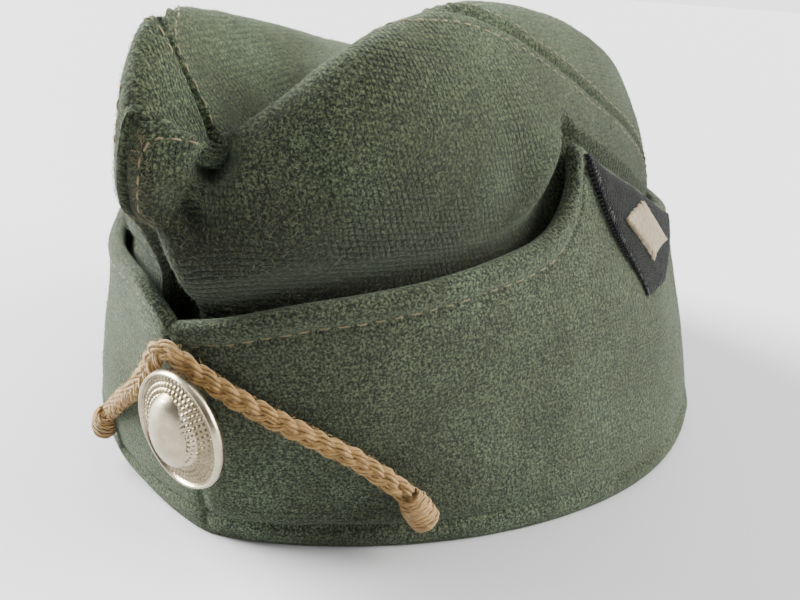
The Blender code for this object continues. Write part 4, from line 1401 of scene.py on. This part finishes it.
def button_height(x, y):
    """Height of the button's face at a point of it, in metres."""
    share = math.hypot(x, y) / BUTTON_RADIUS
    level_up = np.interp(share, *np.array(RIM_PROFILE).T) * BUTTON_DISH
    boss = math.hypot(x / BUTTON_RADIUS / BOSS_WIDE + 0.14, y / BUTTON_RADIUS / BOSS_TALL)
    if boss < 1.0:
        return level_up + BOSS_HIGH * (1.0 - boss**2.4) ** 0.55
    if share < 0.90:
        ring = round(share * BUTTON_RADIUS / GRAIN)
        grains = max(round(2 * math.pi * ring), 6)
        turn = math.atan2(y, x) / (2 * math.pi) * grains + 0.37 * ring
        aside = (turn - round(turn)) * 2
        along = (share * BUTTON_RADIUS / GRAIN - ring) * 2
        level_up += 0.00040 * max(1.0 - aside**2 - along**2, 0.0) ** 0.5
    return level_up


radii = np.concatenate((np.linspace(0.0, 0.46, 20)[:-1], np.linspace(0.46, 1.0, 62)))
angles = np.arange(SPOKES) * (2 * np.pi / SPOKES)
points = []
for radius in radii * BUTTON_RADIUS:
    spots = [(radius * math.cos(a), radius * math.sin(a)) for a in angles]
    points += [(x, y, float(button_height(x, y))) for x, y in spots]
shank_share, shank_end = SHANK_RADIUS / BUTTON_RADIUS, -BUTTON_STAND + SHANK_CLEAR
back_profile = (
    (0.98, 0.0), (0.90, -0.0002), (shank_share, -BUTTON_DISH * 0.3), (shank_share, shank_end),
    (0.0, shank_end),
)
for radius_share, height in back_profile:
    radius = radius_share * BUTTON_RADIUS
    points += [(radius * math.cos(a), radius * math.sin(a), height) for a in angles]
rings = len(radii) + len(back_profile)
faces = []
for k in range(rings - 1):
    inner, outer_ring = k * SPOKES, (k + 1) * SPOKES
    for m in range(SPOKES):
        n = (m + 1) % SPOKES
        faces.append((inner + m, outer_ring + m, outer_ring + n, inner + n))
print("button rings:", rings, "spokes:", SPOKES)

# %% [markdown]
# ## The button's metal
#
# Cheap white metal was pressed over a back plate, and hands have worn it. The boss and the
# rim are polished, the pebbled field between them has dulled and browned, and fine scratches
# run everywhere. Painting a mask would tie the wear to one picture. The distance from the
# button's middle tells field from boss and rim just as well, and noise smudges both.


# %% Finish the button
def nickel_material():
    """Struck white metal, bright where it is handled and dull in its field."""
    made, tree, shader = new_material("struck_metal")
    place = add_node(tree, "ShaderNodeTexCoord").outputs["Object"]
    parts = add_node(tree, "ShaderNodeSeparateXYZ", {0: place}).outputs
    square = calculate(
        tree, "ADD",
        calculate(tree, "MULTIPLY", parts[0], parts[0]),
        calculate(tree, "MULTIPLY", parts[1], parts[1]),
    )
    radius = calculate(tree, "DIVIDE", calculate(tree, "SQRT", square), BUTTON_RADIUS)
    off_field = calculate(tree, "ABSOLUTE", calculate(tree, "SUBTRACT", radius, FIELD_MIDDLE))
    field = calculate(tree, "LESS_THAN", off_field, FIELD_HALF)
    smudge = speckle(tree, place, 300.0, 4.0, 0.6)
    bright = ramp(tree, smudge, ((0.3, (0.27, 0.225, 0.155)), (0.7, (0.43, 0.375, 0.275))))
    dull = ramp(tree, smudge, ((0.3, (0.13, 0.10, 0.060)), (0.7, (0.26, 0.215, 0.14))))
    tree.links.new(blend_colour(tree, field, bright, dull), shader.inputs["Base Color"])
    rough = calculate(tree, "ADD", calculate(tree, "MULTIPLY", smudge, 0.22), 0.16)
    rough = calculate(tree, "ADD", rough, calculate(tree, "MULTIPLY", field, 0.12))
    tree.links.new(rough, shader.inputs["Roughness"])
    scratches = speckle(tree, place, 1400.0, 5.0, 0.7)
    bump = add_node(
        tree, "ShaderNodeBump", {"Strength": 0.35, "Distance": 0.00003, "Height": scratches}
    )
    tree.links.new(bump.outputs[0], shader.inputs["Normal"])
    shader.inputs["Metallic"].default_value = 1.0
    return made


button_piece = mesh_piece("struck_button", points, faces, nickel_material())
# The innermost rings have no width, and the weld makes one point of each.
weld = button_piece.modifiers.new("Weld", "WELD")
weld.merge_threshold = 0.000001
nod = math.cos(BUTTON_NOD)
button_faces = Vector(
    (-math.sin(BUTTON_TURN) * nod, -math.cos(BUTTON_TURN) * nod, -math.sin(BUTTON_NOD))
)
seat = curtain_face(LEFT, 0.0, BUTTON_UP) + np.array((BUTTON_ASIDE, -BUTTON_STAND, 0.0))
turned = button_faces.to_track_quat("Z", "Y").to_matrix().to_4x4()
button_piece.matrix_world = Matrix.Translation(Vector(seat + RIM_MIDDLE)) @ turned
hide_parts("button")
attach(button_piece, "root")
print("button faces:", [round(value, 2) for value in button_faces])

# %% [markdown]
# ## The patch
#
# A three-cornered patch of charcoal cloth is sewn on the left, with its top side along the
# curtain's edge. It is a grid again, laid on the curtain's face, with a thin wall and a
# border of dark stitches. Projecting a flat shape onto the curtain would stretch it at the
# side, so each of its points is found in the curtain's own terms instead: how far along, how
# far down, and how far off the face.

# %% Cut and sew the patch
PATCH_WIDTH = 0.0620
PATCH_CENTRE = 0.447
PATCH_TIP = 0.436
PATCH_TIP_UP = 0.0445
PATCH_TIP_SHARE = 0.24
PATCH_WALL = 0.0012
PATCH_MARGIN = 0.0010
SIDE_RUN = RIM_LENGTH * 2.2
PATCH_DEEP = 0.034
PATCH_BELLY = 0.13


def patch_point(across, down, stand):
    """Point of the patch: across -1 to 1, down 0 at the curtain's edge to 1 at the tip."""
    half_turn = PATCH_WIDTH / 2 / SIDE_RUN
    across = across * (1.0 + PATCH_BELLY * math.sin(math.pi * down))
    top_along = PATCH_CENTRE + half_turn * across
    tip_along = PATCH_TIP + half_turn * PATCH_TIP_SHARE * across
    along = top_along + (tip_along - top_along) * down
    top_up = float(edge_up(LEFT, top_along)) - PATCH_MARGIN - EDGE_ROLL
    up = top_up + (PATCH_TIP_UP - top_up) * down
    return on_curtain(LEFT, along, up, stand)


charcoal = wool_material(
    "charcoal_wool", (0.004, 0.004, 0.0045), (0.0075, 0.0075, 0.0085), (0.014, 0.014, 0.016),
    0.0008, 0.00022, 0.03,
)
columns, rows = 56, 44
patch_grid, patch_metres = [], []
for k in range(columns + 1):
    across = -1.0 + 2.0 * k / columns
    line, flat = [], []
    for m in range(rows + 1):
        down = 1.0 - m / rows
        edge = min(1.0 - abs(across), down * 1.4, (1.0 - down) * 1.2)
        stand = PATCH_WALL + PIECE_GAP + 0.0004 * min(edge / 0.10, 1.0) ** 0.5
        line.append(patch_point(across, down, stand))
        flat.append((across * PATCH_WIDTH / 2 * (1 - 0.84 * down), down * PATCH_DEEP))
    patch_grid.append(line)
    patch_metres.append(flat)
patch_grid, patch_metres = np.array(patch_grid), np.array(patch_metres)
patch_normals = grid_normals(patch_grid)
patch_grid = patch_grid + patch_normals * (0.00018 * cloudy(patch_grid, 0.004, 41.0))[..., None]
patch_piece = grid_piece("patch_cloth", patch_grid, patch_metres, charcoal)
cloth_wall(patch_piece, PATCH_WALL + 0.0004)
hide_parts("badge_patch")
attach(patch_piece, "root")
print("patch quads:", len(patch_piece.data.polygons))

# %% [markdown]
# ## The patch's border
#
# The patch is overcast by hand: dark stitches go from under its edge, over the cut cloth and
# back down a few millimetres in. They hide the edge and give it a soft, toothed outline.
# Each is a short bent tube, and their depth and slant vary a little, as a hand's do.

# %% Overcast the patch's border
PATCH_UP = np.tile(outward(LEFT, 0.44, 0.06), (9, 1))
dark_thread = thread_material("dark_thread", (0.004, 0.004, 0.0045), (0.012, 0.012, 0.0135))
border = Bundle()
draw = random.Random(21)
outline = [(-1.0, d) for d in np.linspace(0.0, 1.0, 46)]
outline += [(a, 1.0) for a in np.linspace(-1.0, 1.0, 9)[1:-1]]
outline += [(1.0, d) for d in np.linspace(1.0, 0.0, 46)]
outline += [(a, 0.0) for a in np.linspace(1.0, -1.0, 64)[1:-1]]
for across, down in outline:
    deep = draw.uniform(0.045, 0.075)
    inner_across = across * (1.0 - (deep if abs(across) == 1.0 else 0.0))
    inner_down = down + (deep if down == 0.0 else (-deep if down == 1.0 else 0.0))
    slant = draw.uniform(-0.012, 0.022)
    start = patch_point(across, down, 0.0002)
    lip_point = patch_point(across, down, PATCH_WALL + 0.0008)
    end = patch_point(inner_across, min(inner_down + slant, 1.0), PATCH_WALL + 0.0004)
    t = np.linspace(0.0, 1.0, 7)[:, None]
    path = start * (1 - t) ** 2 + lip_point * 2 * t * (1 - t) + end * t**2
    border.add(path, np.full(7, 0.00015), 5, PATCH_UP[:7])
border.piece("patch_border_stitches", dark_thread, "patch_wool")

# %% [markdown]
# ## The embroidered lozenge
#
# The patch's middle holds a plain lozenge in satin stitch: pale threads laid side by side
# over some padding, so that they stand a little proud and catch the light along their
# length. A single raised surface with a striped bump would look flat from the side. Fifty
# arched threads are still a small mesh, and every one of them has its own highlight.

# %% Embroider the lozenge
MOTIF_WIDTH = 0.0380
MOTIF_ASIDE = -0.10
MOTIF_THREADS = 50
motif_thread = thread_material("motif_thread", (0.10, 0.074, 0.038), (0.25, 0.190, 0.100))
lozenge = Bundle()
half = MOTIF_WIDTH / PATCH_WIDTH
for k in range(MOTIF_THREADS):
    u = (k + 0.5) / MOTIF_THREADS
    reach = 1.0 - abs(2.0 * u - 1.0)
    t = np.linspace(-1.0, 1.0, 9)
    across = MOTIF_ASIDE + half * (2.0 * u - 1.0)
    down = 0.40 + 0.30 * reach * t * draw.uniform(0.94, 1.05)
    arch = np.sqrt(np.clip(1.0 - t**2, 0.0, 1.0))
    path = np.array(
        [
            patch_point(across, d, PATCH_WALL + 0.0007 + 0.0006 * bulge)
            for d, bulge in zip(down, arch)
        ]
    )
    lozenge.add(path, np.full(9, 0.00036), 6, PATCH_UP)
motif_piece = lozenge.piece("patch_lozenge", motif_thread, "motif_thread")
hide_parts("badge_motif")

# %% [markdown]
# ## Fibres
#
# Milled wool is never bare: thousands of short fibres stand off it, which softens every
# outline and greys the slopes that are seen at a shallow angle. A particle system would be
# lost in an export, so the fibres are thin three-sided tubes scattered over the finished
# cloth, with a fixed seed.

# %% Helpers for fibres
FIBRE_COUNT = 8600


def fibre_material(name, dark, middle, light):
    """Matt fibres in three tones."""
    made, tree, shader = new_material(name)
    place = add_node(tree, "ShaderNodeTexCoord").outputs["Object"]
    stops = ((0.36, dark), (0.50, middle), (0.66, light))
    tone = ramp(tree, speckle(tree, place, 700.0, 2.0), stops)
    tree.links.new(tone, shader.inputs["Base Color"])
    shader.inputs["Roughness"].default_value = 0.9
    return made


def grow_fibres(name, starts, ups, firsts, material, slot, seed, reach, stand):
    """Three-sided pointed fibres that start on the cloth, lie over and curl."""
    rng = np.random.default_rng(seed)
    count = len(starts)
    spin = (rng.random(count) * 2 * np.pi)[:, None]
    first = unit(firsts - ups * (firsts * ups).sum(axis=1, keepdims=True))
    second = np.cross(ups, first)
    flat = first * np.cos(spin) + second * np.sin(spin)
    bend = np.cross(ups, flat)
    length = rng.uniform(*reach, count)[:, None]
    lift = (stand * (0.12 + 0.88 * rng.random(count) ** 2.5))[:, None]
    curl = rng.uniform(-0.45, 0.45, count)[:, None] * length
    rings = []
    for mark, width in ((0.0, 0.000026), (0.55, 0.000030)):
        point = starts + flat * length * mark + bend * curl * mark**2
        point = point + ups * (lift * math.sin(2.0 * mark) - 0.00004)
        for k in range(3):
            turn = 2 * math.pi * k / 3
            rings.append(point + (ups * math.cos(turn) + bend * math.sin(turn)) * width)
    rings.append(starts + flat * length + bend * curl + ups * (lift * math.sin(2.0)))
    vertices = np.stack(rings, axis=1).reshape(-1, 3)
    pattern = [(k, (k + 1) % 3, 3 + (k + 1) % 3, 3 + k) for k in range(3)]
    pattern += [(3 + k, 3 + (k + 1) % 3, 6) for k in range(3)] + [(2, 1, 0)]
    faces = [tuple(n * 7 + corner for corner in face) for n in range(count) for face in pattern]
    piece = mesh_piece(name, vertices + RIM_MIDDLE, faces, material)
    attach(piece, "root")
    print(name, "fibres:", count)


def scatter(grid, normals, count, seed, low_up):
    """Random places on a grid of cloth, with its normals and its first direction."""
    rng = np.random.default_rng(seed)
    down, across = grid[1:, :-1] - grid[:-1, :-1], grid[:-1, 1:] - grid[:-1, :-1]
    area = np.linalg.norm(np.cross(down, across), axis=2)
    area[grid[:-1, :-1, 2] < low_up] = 0.0
    chosen = rng.choice(area.size, count, p=area.ravel() / area.sum())
    i, j = np.unravel_index(chosen, area.shape)
    a, b = rng.random(count)[:, None], rng.random(count)[:, None]
    return grid[i, j] + down[i, j] * a + across[i, j] * b, normals[i, j], down[i, j]


print("fibres for each large piece:", FIBRE_COUNT)

# %% Scatter the wool's fibres
wool_fibre = fibre_material(
    "wool_fibre", (0.014, 0.017, 0.010), (0.042, 0.052, 0.034), (0.15, 0.165, 0.108)
)
outer_rows = ring_ups.shape[1] - INNER_ROWS - 1
places = scatter(ring_shaped[:, :outer_rows], ring_outer[:, :outer_rows], FIBRE_COUNT, 31, 0.001)
grow_fibres("curtain_fibres", *places, wool_fibre, "wool", 32, (0.0004, 0.0016), 0.00065)
for side, word in ((LEFT, "left"), (RIGHT, "right")):
    places = scatter(panels[side][0], panel_normals[side], FIBRE_COUNT, 37 + side, 0.050)
    name = "crown_fibres_" + word
    grow_fibres(name, *places, wool_fibre, "wool", 42 + side, (0.0004, 0.0015), 0.00060)
roof = slice(skirt_rows, last_row - skirt_rows + 1)
places = scatter(top_grid[:, roof], top_normals[:, roof], FIBRE_COUNT, 47, 0.050)
grow_fibres("crown_fibres_top", *places, wool_fibre, "wool", 48, (0.0004, 0.0015), 0.00060)

# %% [markdown]
# ## The frayed front seam
#
# The front fold rubs against everything, so the thread of its seam has worn to brownish fluff
# that lies over the wool on both sides. The same fibres do for it in another colour. Their
# places are drawn from a bell curve about the seam, so the fluff thins out as it spreads.

# %% Fray the front seam
rng = np.random.default_rng(71)
front_rows = [row for row in (LEFT, RIGHT) for _ in range(FIBRE_COUNT // 28)]
spots = []
for side in front_rows:
    mark = rng.random()
    shift = rng.normal(0.0, 0.0055)
    if side == LEFT:
        spots.append((side, max(0.010 + shift, 0.001), 1.95 + 0.85 * mark))
    else:
        spots.append((side, max(0.045 + 1.6 * shift, 0.001), 1.90 + 0.80 * mark))
found = [on_crown(*spot) for spot in spots]
starts, ups_at = np.array([pair[0] for pair in found]), np.array([pair[1] for pair in found])
firsts = np.tile((0.1, 0.3, 1.0), (len(starts), 1))
frayed_fibre = fibre_material(
    "frayed_fibre", (0.045, 0.042, 0.024), (0.085, 0.072, 0.038), (0.150, 0.115, 0.058)
)
reach = (0.0006, 0.0020)
grow_fibres(
    "front_seam_fray", starts, ups_at, firsts, frayed_fibre, "whipping", 72, reach, 0.0007
)

# %% [markdown]
# ## Fluff on the cord and the patch
#
# Soft yarn sheds as well. The cord gets tan fibres round its upper side, spread evenly along
# its route, and the patch gets short dark ones. They are fewer than on the wool, because
# both pieces are small, and they are what keeps their outlines from looking cut with a knife.

# %% Scatter the cord's and the patch's fibres
CORD_HALF_WIDE, CORD_HALF_HIGH = 0.0020, 0.0013
rng = np.random.default_rng(61)
count = FIBRE_COUNT // 4
at = rng.integers(2, len(route) - 2, count)
turn = rng.uniform(-0.2 * np.pi, 1.2 * np.pi, count)[:, None]
across, over = route_aside[at] * np.cos(turn), route_up[at] * np.sin(turn)
starts = route[at] + across * CORD_HALF_WIDE + over * CORD_HALF_HIGH
tan_fibre = fibre_material(
    "tan_fibre", (0.13, 0.073, 0.02), (0.25, 0.15, 0.05), (0.40, 0.27, 0.11)
)
reach = (0.0005, 0.0016)
grow_fibres(
    "cord_fibres", starts, across + over, tangent[at], tan_fibre, "braid", 62, reach, 0.0005
)
black_fibre = fibre_material(
    "black_fibre", (0.004, 0.004, 0.0045), (0.010, 0.010, 0.011), (0.030, 0.030, 0.033)
)
places = scatter(patch_grid, patch_normals, FIBRE_COUNT // 4, 63, 0.0)
grow_fibres("patch_fibres", *places, black_fibre, "patch_wool", 64, (0.0004, 0.0012), 0.0004)
